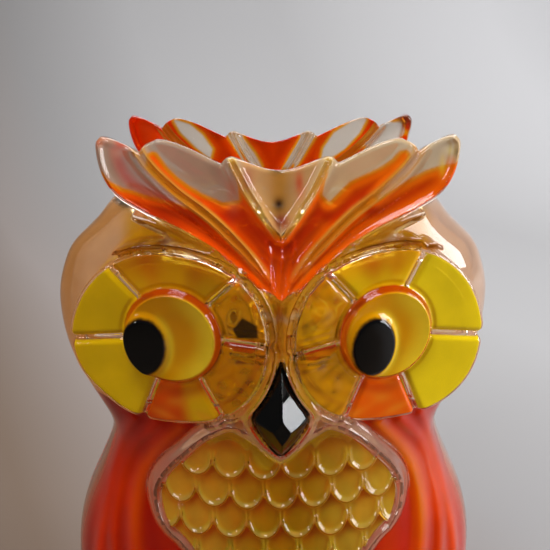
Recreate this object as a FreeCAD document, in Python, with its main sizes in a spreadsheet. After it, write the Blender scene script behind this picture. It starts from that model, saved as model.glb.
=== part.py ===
# Two-sided hollow owl coin bank: two identical half mouldings joined on the
# XZ plane, colour coats on the inner side of each half, and a base stopper.
# Frame: origin at the centre of the base, +Z up, front face towards -Y, mm.
import FreeCAD, Part
import Sketcher
import math
import os

V = FreeCAD.Vector
os.makedirs("parts", exist_ok=True)
doc = FreeCAD.newDocument("owl_bank")

# ---------------------------------------------------------------- dimensions
sheet = doc.addObject("Spreadsheet::Sheet", "Dimensions")
rows = [
    ("wall_thickness", 2.6), ("coat_thickness", 0.4), ("coat_gap", 0.03),
    ("head_top_height", 156.0), ("base_wall", 3.0),
    ("crest_lean_angle", 8.1), ("crest_wall", 3.0), ("crest_front_y", -29.9),
    ("crest_foot_height", 134.0),
    ("disc_radius", 23.6), ("disc_offset_x", 26.4), ("disc_face_y", -25.5),
    ("disc_height", 125.3), ("disc_turn_angle", 14.0), ("disc_depth", 15.0),
    ("iris_radius", 11.6), ("iris_rise", 1.2), ("pupil_radius", 6.2),
    ("iris_inset", 1.3), ("iris_lift", 0.8), ("pupil_drop", 1.3),
    ("pupil_rise", 1.1), ("pupil_shift_left", 5.0), ("pupil_shift_right", 5.4),
    ("groove_width", 1.1), ("groove_depth", 0.8),
    ("pad_rise", 0.8), ("scale_rise", 1.5), ("bead_rise", 1.9),
    ("scale_radius", 4.1), ("scale_pitch_x", 8.4), ("scale_pitch_z", 7.0),
    ("slot_width", 3.2), ("slot_half_length", 17.0),
    ("hole_radius", 15.0), ("recess_radius", 18.4), ("recess_depth", 1.4),
    ("plug_clearance", 0.06), ("flange_radius", 17.9), ("flange_thickness", 1.15),
    ("flange_lift", 0.1), ("plug_height", 6.0), ("plug_wall", 1.6),
    ("toe_radius", 5.6),
]
# body sections: height, half width, half depth
stations = [
    (0.0, 44.0, 30.0), (8.0, 47.0, 32.0), (25.0, 55.0, 36.0), (42.0, 57.0, 37.0),
    (62.0, 53.5, 35.0), (80.0, 47.5, 31.5), (92.0, 44.9, 29.0), (100.0, 48.0, 28.5),
    (112.0, 54.0, 27.0), (124.0, 56.5, 26.5), (136.0, 53.0, 26.0),
    (149.0, 44.0, 25.5), (156.0, 40.0, 25.0),
]
words = ["base", "rim", "hip", "belly", "waist", "breast", "neck", "jaw",
         "cheek", "eyeline", "brow", "crown", "top"]
for (z, w, d), word in zip(stations, words):
    rows += [("level_%s" % word, z), ("half_width_%s" % word, w),
             ("half_depth_%s" % word, d)]
for i, (alias, value) in enumerate(rows, start=1):
    sheet.set("A%d" % i, alias)
    sheet.set("B%d" % i, str(value))
    sheet.setAlias("B%d" % i, alias)
doc.recompute()
DIM = "Dimensions."


def bind(obj, **props):
    for name, expr in props.items():
        obj.setExpression(name.replace("__", "."), expr)
    return obj


# ---------------------------------------------------------------- helpers
def body_loft(name, grow, low=None, high=None):
    """Loft through the body ellipses, grown by an expression in mm."""
    rings = []
    for k, word in enumerate(words):
        ring = doc.addObject("Part::Ellipse", "%s_ring_%s" % (name, word))
        ring.MajorRadius = 60
        ring.MinorRadius = 30
        bind(ring, MajorRadius="%shalf_width_%s + (%s)" % (DIM, word, grow),
             MinorRadius="%shalf_depth_%s + (%s)" % (DIM, word, grow))
        level = DIM + "level_" + word
        if k == 0 and low:
            level = low
        if k == len(words) - 1 and high:
            level = high
        ring.setExpression("Placement.Base.z", level)
        rings.append(ring)
    loft = doc.addObject("Part::Loft", name)
    loft.Sections = rings
    loft.Solid = True
    loft.Ruled = False
    return loft


def outline(name, chains, y=0.0):
    """Sketch in an XZ plane. Each chain is a list of (x, z) through points."""
    sk = doc.addObject("Sketcher::SketchObject", name)
    sk.Placement = FreeCAD.Placement(V(0, y, 0), FreeCAD.Rotation(V(1, 0, 0), 90))
    for chain in chains:
        pts = [V(x, z, 0) for x, z in chain]
        if len(pts) == 2:
            sk.addGeometry(Part.LineSegment(pts[0], pts[1]), False)
        else:
            curve = Part.BSplineCurve()
            curve.interpolate(Points=pts)
            sk.addGeometry(curve, False)
    return sk


def prism(name, sketch, front=90.0, back=0.0):
    ex = doc.addObject("Part::Extrusion", name)
    ex.Base = sketch
    ex.DirMode = "Custom"
    ex.Dir = V(0, -1, 0)
    ex.LengthFwd = front
    ex.LengthRev = back
    ex.Solid = True
    return ex


def fuse(name, parts):
    obj = doc.addObject("Part::MultiFuse", name)
    obj.Shapes = parts
    return obj


def common(name, parts):
    obj = doc.addObject("Part::MultiCommon", name)
    obj.Shapes = parts
    return obj


def cut(name, base, tool):
    obj = doc.addObject("Part::Cut", name)
    obj.Base = base
    obj.Tool = tool
    return obj


def box(name, x, y, z, lx, ly, lz):
    obj = doc.addObject("Part::Box", name)
    obj.Length, obj.Width, obj.Height = lx, ly, lz
    obj.Placement.Base = V(x, y, z)
    return obj


def mirror_points(points):
    return [(-x, z) for x, z in points]


# ---------------------------------------------------------------- base volume
outer = body_loft("outer_body", "0")
inner = body_loft("inner_space", "-%swall_thickness" % DIM, DIM + "base_wall",
                  "%shead_top_height - %swall_thickness" % (DIM, DIM))
front_space = box("front_space", -120, -120, -5, 240, 120, 240)
above_base = box("above_base", -120, -120, 0, 240, 120, 240)

# ---------------------------------------------------------------- crest
crest_low = [(0, 135.3), (3.3, 137.4), (5.6, 139.5), (7.8, 141.6), (10, 143.5),
             (13.3, 146.0), (16.6, 148.3), (19.9, 150.3), (23.1, 152.1),
             (26.4, 153.7), (29.3, 155.2), (31.8, 156.6), (34.1, 158.0),
             (36.0, 159.6), (37.4, 161.5), (38.5, 163.7), (39.2, 166.0),
             (39.6, 168.7), (39.5, 170.7), (38.4, 171.9)]
crest_top = [
    [(38.4, 171.9), (36.0, 171.3), (33.0, 169.9), (30.5, 168.6)],
    [(30.5, 168.6), (29.2, 170.0), (26.8, 171.3)],
    [(26.8, 171.3), (24.5, 171.0), (20.2, 169.5), (16.3, 167.6), (12.9, 166.0)],
    [(12.9, 166.0), (11.8, 167.0), (10.5, 167.5)],
    [(10.5, 167.5), (7.0, 166.2), (3.2, 164.9), (0, 164.4)],
]
crest_chains = [crest_low] + crest_top
crest_sketch = outline("crest_outline", crest_chains + [mirror_points(c) for c in crest_chains])
crest_prism = prism("crest_prism", crest_sketch)


def lean_slab(name, inset, thick, low, high):
    """Slab parallel to the leaning crest face, inset behind its front."""
    slab = doc.addObject("Part::Box", name)
    slab.Length = 120
    bind(slab, Width=thick, Height="%s - (%s)" % (high, low))
    slab.Placement = FreeCAD.Placement(V(-60, 0, 0), FreeCAD.Rotation(V(1, 0, 0), -8.1))
    slab.setExpression("Placement.Rotation.Angle", "-%screst_lean_angle" % DIM)
    slab.setExpression("Placement.Base.y",
                       "%screst_front_y + (%s) + ((%s) - %screst_foot_height) * 0.1423"
                       % (DIM, inset, low, DIM))
    slab.setExpression("Placement.Base.z", low)
    return slab


crest_slab = lean_slab("crest_slab", "0", DIM + "crest_wall", DIM + "crest_foot_height", "180")
crest_plate = common("crest_plate", [crest_prism, crest_slab])
crest_block_slab = lean_slab("crest_block_slab", "0", "22", DIM + "crest_foot_height", "155")
crest_block = common("crest_block", [crest_prism, crest_block_slab])

# feather ridges: raised bars running from the V up to the notches
ridge_bars = []
ridge_paths = [
    [(3.2, 141.0), (9.5, 148.3), (17.5, 155.8), (25.0, 162.3), (30.3, 168.4)],
    [(1.2, 146.2), (4.4, 151.4), (8.3, 157.4), (11.0, 161.8), (12.8, 165.8)],
]
for k, path in enumerate(ridge_paths):
    for side in (1, -1):
        a = [(side * (x - 0.5), z + 0.4) for x, z in path]
        b = [(side * (x + 0.5), z - 0.4) for x, z in path]
        sk = outline("ridge_outline_%d%s" % (k, "r" if side > 0 else "l"),
                     [a, [a[-1], b[-1]], b[::-1], [b[0], a[0]]])
        ridge_bars.append(prism("ridge_prism_%d%s" % (k, "r" if side > 0 else "l"), sk))
ridge_all = fuse("ridge_all", ridge_bars)
ridge_slab = lean_slab("ridge_slab", "-0.7", "2", DIM + "crest_foot_height", "180")
crest_ridges = common("crest_ridges", [ridge_all, ridge_slab])

crest_inner_low = [(0, 140.0), (7.6, 146.6), (15.8, 152.4), (21.0, 155.6)]
pocket_sketch = outline("crest_pocket_outline", [
    crest_inner_low, [(21.0, 155.6), (-21.0, 155.6)], mirror_points(crest_inner_low)])
pocket_prism = prism("crest_pocket_prism", pocket_sketch)
pocket_slab = lean_slab("crest_pocket_slab", DIM + "crest_wall + 0.03", "24",
                        DIM + "crest_foot_height", "%shead_top_height - %swall_thickness" % (DIM, DIM))
crest_pocket = common("crest_pocket", [pocket_prism, pocket_slab])


# ---------------------------------------------------------------- eye discs
def disc_frame(side):
    turn = math.radians(14.0)
    back = V(-side * math.sin(turn), math.cos(turn), 0)
    return V(side * 26.4, -25.5, 125.3), back


def on_disc(name, side, radius, start, length, shift_x="0", shift_z="0", kind="Part::Cylinder"):
    """Cylinder on the disc axis; start > 0 lies behind the disc face."""
    centre, back = disc_frame(side)
    obj = doc.addObject(kind, name)
    bind(obj, Radius=radius, Height=length)
    obj.Placement = FreeCAD.Placement(centre, FreeCAD.Rotation(V(0, 0, 1), back))
    s = "1" if side > 0 else "-1"
    obj.setExpression("Placement.Base.x",
                      "%s * %sdisc_offset_x - %s * (%s) * sin(%sdisc_turn_angle) + (%s) * cos(%sdisc_turn_angle)"
                      % (s, DIM, s, start, DIM, shift_x, DIM))
    obj.setExpression("Placement.Base.y",
                      "%sdisc_face_y + (%s) * cos(%sdisc_turn_angle) + %s * (%s) * sin(%sdisc_turn_angle)"
                      % (DIM, start, DIM, s, shift_x, DIM))
    obj.setExpression("Placement.Base.z", "%sdisc_height + (%s)" % (DIM, shift_z))
    return obj


adds, cuts = [], []
eye_bits = {}
for side, tag in ((1, "right"), (-1, "left")):
    pupil_shift = "-%spupil_shift_%s" % (DIM, tag)
    pupil_z = "-%spupil_drop" % DIM
    iris_shift = "%s%siris_inset" % ("-" if side > 0 else "", DIM)
    iris_z = DIM + "iris_lift"
    disc = on_disc("disc_%s" % tag, side, DIM + "disc_radius", "0", DIM + "disc_depth")
    iris = on_disc("iris_%s" % tag, side, DIM + "iris_radius", "-" + DIM + "iris_rise", "4",
                   iris_shift, iris_z)
    pupil = on_disc("pupil_%s" % tag, side, DIM + "pupil_radius",
                    "-%siris_rise - %spupil_rise" % (DIM, DIM), "4", pupil_shift, pupil_z)
    adds += [disc, iris, pupil]
    pocket = on_disc("disc_pocket_%s" % tag, side, "%sdisc_radius - %swall_thickness" % (DIM, DIM),
                     DIM + "wall_thickness", "22")
    iris_pocket = on_disc("iris_pocket_%s" % tag, side, "%siris_radius - 1.2" % DIM,
                          "%swall_thickness - %siris_rise" % (DIM, DIM), "6", iris_shift, iris_z)
    cuts += [pocket, iris_pocket]
    # radial grooves between the petals
    grooves = []
    spokes = (66, -7, -67, -116, -173, 133) if side > 0 else (49, -5, -69, -121, 181, 136)
    for k, up in enumerate(spokes):
        deg = -up if side > 0 else 180 + up
        g = doc.addObject("Part::Box", "groove_%s_%d" % (tag, k))
        bind(g, Length=DIM + "disc_radius + 4 - %siris_radius - 0.6" % DIM,
             Width=DIM + "groove_width", Height=DIM + "groove_depth + 3")
        centre, back = disc_frame(side)
        # disc local frame: z backwards; align local x with world X, y with -Z or Z
        fix = FreeCAD.Rotation(V(math.cos(math.radians(14.0)), side * math.sin(math.radians(14.0)), 0),
                               V(0, 0, -1), back, "ZXY")
        spin = FreeCAD.Placement(V(0, 0, 0), FreeCAD.Rotation(V(0, 0, 1), deg))
        local = FreeCAD.Placement(V(12.2, -0.55, -3.0), FreeCAD.Rotation())
        hub = FreeCAD.Placement(V(-side * 1.3, -0.8, 0), FreeCAD.Rotation())
        g.Placement = FreeCAD.Placement(centre, fix).multiply(hub).multiply(spin).multiply(local)
        grooves.append(g)
    eye_bits[tag] = grooves
    cuts += grooves

# ---------------------------------------------------------------- beak
def kite(name, y, top, wide_x, wide_z, bottom):
    pts = [(0, top), (wide_x, wide_z), (0, bottom), (-wide_x, wide_z)]
    return outline(name, [[pts[i], pts[(i + 1) % 4]] for i in range(4)], y)


def kite_loft(name, a, b):
    loft = doc.addObject("Part::Loft", name)
    loft.Sections = [a, b]
    loft.Solid = True
    loft.Ruled = True
    return loft


beak = kite_loft("beak_body", kite("beak_root", -24.0, 120.6, 8.2, 112.4, 100.2),
                 kite("beak_front", -38.4, 117.0, 1.9, 111.6, 104.0))
beak_bead = prism("beak_bead", kite("beak_bead_outline", 0.0, 122.6, 9.2, 112.4, 98.6), 31.6, 0.0)
beak_pocket = kite_loft("beak_pocket", kite("beak_pocket_root", -20.0, 118.4, 6.4, 112.3, 102.6),
                        kite("beak_pocket_front", -35.4, 115.2, 1.2, 111.6, 105.8))

# ---------------------------------------------------------------- chest heart
heart_half = [(0, 97.6), (4.5, 101.2), (8.8, 104.1), (12.5, 105.1), (17.0, 103.2), (20.8, 100.4),
              (24.8, 96.2), (28.6, 92.0), (31.2, 88.3), (32.7, 84.4), (32.3, 80.0), (31.0, 76.4),
              (28.6, 73.6), (25.6, 71.6), (20.6, 66.0), (15.0, 58.4), (8.6, 49.6), (3.6, 43.4), (0, 40.6)]
heart_sketch = outline("heart_outline", [heart_half, mirror_points(heart_half)])
heart_inner = [(x * 0.91, 78.0 + (z - 78.0) * 0.91) for x, z in heart_half]
heart_inner_sketch = outline("heart_inner_outline", [heart_inner, mirror_points(heart_inner)])
heart_prism = prism("heart_prism", heart_sketch)
heart_inner_prism = prism("heart_inner_prism", heart_inner_sketch)
bead_skin = body_loft("bead_skin", DIM + "bead_rise")
pad_skin = body_loft("pad_skin", DIM + "pad_rise")
scale_skin = body_loft("scale_skin", DIM + "scale_rise")
heart_ring = cut("heart_ring", heart_prism, heart_inner_prism)
heart_bead = common("heart_bead", [heart_ring, bead_skin])
heart_pad = common("heart_pad", [heart_prism, pad_skin])

scales = []
for row in range(7):
    zc = 96.6 - 7.0 * row
    offset = 0.5 if row % 2 == 0 else 0.0
    for col in range(-4, 5):
        xc = (col + offset) * 8.4
        limit = [22.0, 24.5, 24.5, 20.5, 15.5, 10.0, 5.0][row]
        if abs(xc) > limit:
            continue
        c = doc.addObject("Part::Cylinder", "scale_%d_%d" % (row, col + 4))
        bind(c, Radius=DIM + "scale_radius - %g" % (0.0 if row % 2 else 0.25))
        c.Height = 60
        c.Placement = FreeCAD.Placement(V(xc, 0, zc), FreeCAD.Rotation(V(1, 0, 0), 90))
        c.setExpression("Placement.Base.x", "%g * %sscale_pitch_x" % (col + offset, DIM))
        c.setExpression("Placement.Base.z", "96.6 - %d * %sscale_pitch_z" % (row, DIM))
        scales.append(c)
scale_posts = fuse("scale_posts", scales)
heart_scales = common("heart_scales", [scale_posts, heart_inner_prism, scale_skin])

# ---------------------------------------------------------------- wings
wing_half = [[(33.6, 99.5), (35.4, 88.0), (33.6, 76.0), (29.0, 66.0), (26.0, 48.0),
              (30.0, 28.0), (40.0, 12.0)],
             [(40.0, 12.0), (70.0, 12.0)], [(70.0, 12.0), (70.0, 109.0)],
             [(70.0, 109.0), (33.6, 99.5)]]
wing_prisms = []
for side, tag in ((1, "right"), (-1, "left")):
    chains = [[(side * x, z) for x, z in c] for c in wing_half]
    wing_prisms.append(prism("wing_prism_%s" % tag, outline("wing_outline_%s" % tag, chains)))
wing_both = fuse("wing_both", wing_prisms)
wing_pads = common("wing_pads", [wing_both, pad_skin])
feather_paths = [
    [(37.0, 97.0), (39.8, 84.0), (39.8, 66.0), (35.5, 46.0), (34.5, 30.0)],
    [(39.6, 95.0), (43.0, 82.0), (45.0, 64.0), (42.2, 44.0), (41.0, 26.0)],
    [(41.4, 92.5), (44.8, 78.0), (49.0, 58.0), (48.0, 40.0), (46.2, 22.0)],
]
feather_bars = []
for k, path in enumerate(feather_paths):
    for side in (1, -1):
        a = [(side * (x - 0.6), z) for x, z in path]
        b = [(side * (x + 0.6), z) for x, z in path]
        sk = outline("feather_outline_%d%s" % (k, "r" if side > 0 else "l"),
                     [a, [a[-1], b[-1]], b[::-1], [b[0], a[0]]])
        feather_bars.append(prism("feather_prism_%d%s" % (k, "r" if side > 0 else "l"), sk))
feather_all = fuse("feather_all", feather_bars)
wing_feathers = common("wing_feathers", [feather_all, bead_skin])

# ---------------------------------------------------------------- feet
toes = []
for k, (x, y) in enumerate(((10.5, -33.0), (18.5, -33.6), (26.5, -31.6))):
    for side in (1, -1):
        t = doc.addObject("Part::Sphere", "toe_%d%s" % (k, "r" if side > 0 else "l"))
        bind(t, Radius=DIM + "toe_radius")
        t.Placement.Base = V(side * x, y, 2.6)
        toes.append(t)
toe_fuse = fuse("toe_fuse", toes)
feet = common("feet", [toe_fuse, above_base])

# ---------------------------------------------------------------- openings
slot = box("coin_slot", -1.6, -17, 150, 3.2, 34, 12)
bind(slot, Length=DIM + "slot_width", Width=DIM + "slot_half_length * 2")
slot.setExpression("Placement.Base.x", "-%sslot_width / 2" % DIM)
slot.setExpression("Placement.Base.y", "-%sslot_half_length" % DIM)
hole = doc.addObject("Part::Cylinder", "stopper_hole")
bind(hole, Radius=DIM + "hole_radius")
hole.Height = 12
hole.Placement.Base = V(0, 0, -2)
recess = doc.addObject("Part::Cylinder", "stopper_recess")
bind(recess, Radius=DIM + "recess_radius", Height=DIM + "recess_depth + 2")
recess.Placement.Base = V(0, 0, -2)

# ---------------------------------------------------------------- half shell
half_body = common("half_body", [outer, front_space])
solid_half = fuse("solid_half", [half_body, crest_block, crest_plate, crest_ridges, beak_bead, beak,
                                 heart_pad, heart_bead, heart_scales, wing_pads,
                                 wing_feathers, feet] + adds)
hollow_tools = fuse("hollow_tools", [inner, crest_pocket, beak_pocket, slot, hole, recess] + cuts)
hollow_half = cut("hollow_half", solid_half, hollow_tools)
half_shell = common("half_shell", [hollow_half, front_space])

# ---------------------------------------------------------------- coats
inner_levels = (DIM + "base_wall", "%shead_top_height - %swall_thickness" % (DIM, DIM))
coat_out = body_loft("coat_outer", "-%swall_thickness - %scoat_gap" % (DIM, DIM), *inner_levels)
coat_in = body_loft("coat_inner", "-%swall_thickness - %scoat_gap - %scoat_thickness" % (DIM, DIM, DIM),
                    *inner_levels)
coat_skin = cut("coat_skin", coat_out, coat_in)
coat_half = common("coat_half", [coat_skin, box("coat_space", -120, -120, 4, 240, 119.8, 140)])

chest_coat = common("chest_coat", [coat_half, heart_inner_prism])
wing_heart = [(x * 1.02, 78.0 + (z - 78.0) * 1.02) for x, z in heart_half]
wing_heart_prism = prism("wing_heart_prism", outline("wing_heart_outline",
                                                     [wing_heart, mirror_points(wing_heart)]))
wing_zone = cut("wing_zone", box("wing_band", -80, -80, 6, 160, 80, 90.5), wing_heart_prism)
wing_coat = common("wing_coat", [coat_half, wing_zone])

crest_coat_slab = lean_slab("crest_coat_slab", DIM + "crest_wall + 0.05", DIM + "coat_thickness",
                            "156.1", "178")
crest_coat = common("crest_coat", [crest_prism, crest_coat_slab])
crest_vee_slab = lean_slab("crest_vee_slab", DIM + "crest_wall + 0.05", DIM + "coat_thickness",
                           "139", "153.2")
crest_vee_sketch = outline("crest_vee_outline", [
    [(0, 140.4), (7.4, 147.0), (15.0, 152.6)], [(15.0, 152.6), (-15.0, 152.6)],
    [(-15.0, 152.6), (-7.4, 147.0), (0, 140.4)]])
crest_vee = common("crest_vee", [prism("crest_vee_prism", crest_vee_sketch), crest_vee_slab])
crest_both = fuse("crest_both", [crest_coat, crest_vee])


def both(name, maker):
    return fuse(name, [maker("right", 1), maker("left", -1)])


def petal_ring(tag, side):
    a = on_disc("petal_plate_%s" % tag, side, "%sdisc_radius - %swall_thickness - 0.1" % (DIM, DIM),
                "%swall_thickness + 0.02" % DIM, DIM + "coat_thickness")
    shift = "%s%siris_inset" % ("-" if side > 0 else "", DIM)
    b = on_disc("petal_hole_%s" % tag, side, "%siris_radius - 1.1" % DIM, "0", "6", shift, DIM + "iris_lift")
    return cut("petal_ring_%s" % tag, a, b)


def iris_plate(tag, side):
    shift = "-%spupil_shift_%s" % (DIM, tag)
    inset = "%s%siris_inset" % ("-" if side > 0 else "", DIM)
    a = on_disc("iris_plate_%s" % tag, side, "%siris_radius - 1.3" % DIM,
                "%swall_thickness - %siris_rise + 0.02" % (DIM, DIM), DIM + "coat_thickness",
                inset, DIM + "iris_lift")
    b = on_disc("iris_hole_%s" % tag, side, DIM + "pupil_radius - 0.7", "-4", "12", shift,
                "-%spupil_drop" % DIM)
    return cut("iris_ring_%s" % tag, a, b)


def pupil_plate(tag, side):
    shift = "-%spupil_shift_%s" % (DIM, tag)
    a = on_disc("pupil_plate_%s" % tag, side, DIM + "pupil_radius - 0.8",
                "%swall_thickness - %siris_rise + 0.02" % (DIM, DIM), DIM + "coat_thickness", shift,
                "-%spupil_drop" % DIM)
    inset = "%s%siris_inset" % ("-" if side > 0 else "", DIM)
    b = on_disc("pupil_trim_%s" % tag, side, "%siris_radius - 1.3" % DIM, "-4", "12", inset,
                DIM + "iris_lift")
    return common("pupil_patch_%s" % tag, [a, b])


petal_coat = both("petal_coat", petal_ring)
iris_coat = both("iris_coat", iris_plate)
pupil_coat = both("pupil_coat", pupil_plate)

beak_coat_out = kite_loft("beak_coat_outer", kite("beak_coat_a", -29.0, 116.42, 3.26, 111.89, 104.58),
                          kite("beak_coat_b", -35.3, 115.1, 1.12, 111.6, 105.92))
beak_coat_in = kite_loft("beak_coat_inner", kite("beak_coat_c", -28.9, 115.9, 2.9, 111.89, 105.1),
                         kite("beak_coat_d", -34.9, 114.6, 0.78, 111.6, 106.4))
beak_coat = cut("beak_coat", beak_coat_out, beak_coat_in)

# ---------------------------------------------------------------- both halves
def half_turn(name, source):
    """The second half is the same piece turned half a turn about +Z."""
    a = doc.addObject("Part::Mirroring", name + "_flip")
    a.Source, a.Base, a.Normal = source, V(0, 0, 0), V(0, 1, 0)
    b = doc.addObject("Part::Mirroring", name)
    b.Source, b.Base, b.Normal = a, V(0, 0, 0), V(1, 0, 0)
    return b


nodes = []
for label, source in (("shell", half_shell), ("crest_coat", crest_both), ("petal_coat", petal_coat),
                      ("iris_coat", iris_coat), ("pupil_coat", pupil_coat),
                      ("beak_coat", beak_coat), ("chest_coat", chest_coat),
                      ("wing_coat", wing_coat)):
    source.Label = "front_" + label
    nodes.append(("front_" + label, source))
    back = half_turn("turned_" + label, source)
    back.Label = "back_" + label
    nodes.append(("back_" + label, back))

# ---------------------------------------------------------------- base stopper
stopper = doc.addObject("PartDesign::Body", "stopper_body")
stopper.Label = "base_stopper"


def plane_of(body, role):
    for feature in body.Origin.OriginFeatures:
        if getattr(feature, "Role", "") == role:
            return feature
    raise RuntimeError("no plane " + role)


profile = doc.addObject("Sketcher::SketchObject", "stopper_profile")
stopper.addObject(profile)
profile.AttachmentSupport = [(plane_of(stopper, "XZ_Plane"), "")]
profile.MapMode = "FlatFace"
pts = [(0, 0.1), (17.9, 0.1), (17.9, 1.25), (14.94, 1.25), (14.94, 6.1), (13.34, 6.1),
       (13.34, 2.2), (0, 2.2)]
exprs = {
    1: ("flange_radius", "flange_lift"),
    2: ("flange_radius", "flange_lift + %sflange_thickness" % DIM),
    3: ("hole_radius - %splug_clearance" % DIM, "flange_lift + %sflange_thickness" % DIM),
    4: ("hole_radius - %splug_clearance" % DIM, "flange_lift + %splug_height" % DIM),
    5: ("hole_radius - %splug_clearance - %splug_wall" % (DIM, DIM), "flange_lift + %splug_height" % DIM),
}
n = len(pts)
for i in range(n):
    a, b = pts[i], pts[(i + 1) % n]
    profile.addGeometry(Part.LineSegment(V(a[0], a[1], 0), V(b[0], b[1], 0)), False)
for i in range(n):
    profile.addConstraint(Sketcher.Constraint("Coincident", i, 2, (i + 1) % n, 1))
for i in range(n):
    cx = profile.addConstraint(Sketcher.Constraint("DistanceX", -1, 1, i, 1, pts[i][0])) if pts[i][0] else \
        profile.addConstraint(Sketcher.Constraint("PointOnObject", i, 1, -2))
    cz = profile.addConstraint(Sketcher.Constraint("DistanceY", -1, 1, i, 1, pts[i][1]))
    if i in exprs:
        profile.setExpression("Constraints[%d]" % cx, DIM + exprs[i][0])
        profile.setExpression("Constraints[%d]" % cz, DIM + exprs[i][1])
turned = doc.addObject("PartDesign::Revolution", "stopper_turned")
stopper.addObject(turned)
turned.Profile = profile
turned.ReferenceAxis = (profile, ["V_Axis"])
turned.Angle = 360
stopper.Tip = turned
nodes.append(("base_stopper", stopper))

# ---------------------------------------------------------------- export
doc.recompute()
for obj in doc.Objects:
    if "Invalid" in obj.State or "Error" in obj.State:
        raise RuntimeError("%s: %s" % (obj.Name, obj.State))
for label, obj in nodes:
    shape = obj.Shape
    if shape.isNull() or not shape.isValid() or shape.Volume <= 0:
        raise RuntimeError("bad shape: " + label)
    print("%-20s solids %d faces %d volume %.1f" % (label, len(shape.Solids), len(shape.Faces), shape.Volume))
    shape.exportStep("parts/%s.step" % label)
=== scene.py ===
# Two-sided clear plastic owl bank: detailed shells, colour films, stopper,
# floor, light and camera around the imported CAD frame.
import math
import bpy
import numpy as np
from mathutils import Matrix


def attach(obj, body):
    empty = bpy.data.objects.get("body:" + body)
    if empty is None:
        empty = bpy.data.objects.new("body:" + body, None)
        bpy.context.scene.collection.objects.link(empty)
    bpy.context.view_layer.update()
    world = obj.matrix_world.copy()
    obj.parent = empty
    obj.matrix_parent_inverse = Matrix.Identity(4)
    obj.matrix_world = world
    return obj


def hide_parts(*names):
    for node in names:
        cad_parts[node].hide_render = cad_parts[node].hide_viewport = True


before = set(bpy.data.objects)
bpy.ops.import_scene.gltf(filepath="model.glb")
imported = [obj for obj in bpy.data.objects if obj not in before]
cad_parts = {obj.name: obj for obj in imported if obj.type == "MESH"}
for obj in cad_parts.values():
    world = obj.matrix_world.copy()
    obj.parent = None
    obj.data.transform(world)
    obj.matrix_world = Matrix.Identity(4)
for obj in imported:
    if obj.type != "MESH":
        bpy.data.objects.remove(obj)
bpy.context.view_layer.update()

import openvdb

MM = 0.001
VOXEL = 0.7
WALL = 2.6
F32 = np.float32


# ------------------------------------------------------------------ numerics
def smin(a, b, r):
    h = np.maximum(r - np.abs(a - b), 0.0) / r
    return np.minimum(a, b) - h * h * r * 0.25


def smax(a, b, r):
    h = np.maximum(r - np.abs(a - b), 0.0) / r
    return np.maximum(a, b) + h * h * r * 0.25


def step(lo, hi, v):
    t = np.clip((v - lo) / (hi - lo), 0.0, 1.0)
    return t * t * (3.0 - 2.0 * t)


def bump(d, w):
    return np.exp(-(d / w) ** 2)


def spline(xs, ys):
    """Natural cubic spline as piecewise coefficients."""
    xs, ys = np.asarray(xs, float), np.asarray(ys, float)
    n, h = len(xs), np.diff(xs)
    a = np.zeros((n, n))
    b = np.zeros(n)
    a[0, 0] = a[-1, -1] = 1.0
    for i in range(1, n - 1):
        a[i, i - 1], a[i, i], a[i, i + 1] = h[i - 1], 2 * (h[i - 1] + h[i]), h[i]
        b[i] = 3 * ((ys[i + 1] - ys[i]) / h[i] - (ys[i] - ys[i - 1]) / h[i - 1])
    c = np.linalg.solve(a, b)
    d = np.diff(c) / (3 * h)
    m = np.diff(ys) / h - h * (2 * c[:-1] + c[1:]) / 3

    def value(v, slope=False):
        v = np.clip(v, xs[0], xs[-1])
        i = np.clip(np.searchsorted(xs, v, side="right") - 1, 0, n - 2)
        t = v - xs[i]
        if slope:
            return m[i] + 2 * c[i] * t + 3 * d[i] * t * t
        return ys[i] + m[i] * t + c[i] * t * t + d[i] * t ** 3
    return value


def curve_points(pts, closed=False, per=6):
    """Catmull-Rom through the points."""
    p = np.asarray(pts, float)
    n = len(p)
    out = []
    for i in range(n if closed else n - 1):
        p0 = p[(i - 1) % n] if closed or i > 0 else 2 * p[0] - p[1]
        p1, p2 = p[i], p[(i + 1) % n]
        p3 = p[(i + 2) % n] if closed or i < n - 2 else 2 * p[-1] - p[-2]
        for t in np.arange(per) / per:
            out.append(0.5 * (2 * p1 + (p2 - p0) * t + (2 * p0 - 5 * p1 + 4 * p2 - p3) * t * t
                              + (3 * p1 - p0 - 3 * p2 + p3) * t ** 3))
    if not closed:
        out.append(p[-1])
    return np.array(out)


def line_distance(x, z, pts, closed=False):
    """Unsigned distance in the XZ plane to a polyline."""
    best = None
    m = len(pts)
    for i in range(m if closed else m - 1):
        ax, az = pts[i]
        bx, bz = pts[(i + 1) % m]
        ex, ez = bx - ax, bz - az
        ll = ex * ex + ez * ez + 1e-12
        t = np.clip(((x - ax) * ex + (z - az) * ez) / ll, 0.0, 1.0)
        d2 = (x - ax - t * ex) ** 2 + (z - az - t * ez) ** 2
        best = d2 if best is None else np.minimum(best, d2)
    return np.sqrt(best)


def poly_distance(x, z, pts):
    """Signed distance to a closed polygon, negative inside."""
    d = line_distance(x, z, pts, closed=True)
    inside = np.zeros(np.broadcast(x, z).shape, bool)
    m = len(pts)
    for i in range(m):
        ax, az = pts[i]
        bx, bz = pts[(i + 1) % m]
        if az == bz:
            continue
        crosses = ((az > z) != (bz > z)) & (x < (bx - ax) * (z - az) / (bz - az) + ax)
        inside ^= crosses
    return np.where(inside, -d, d)


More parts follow.
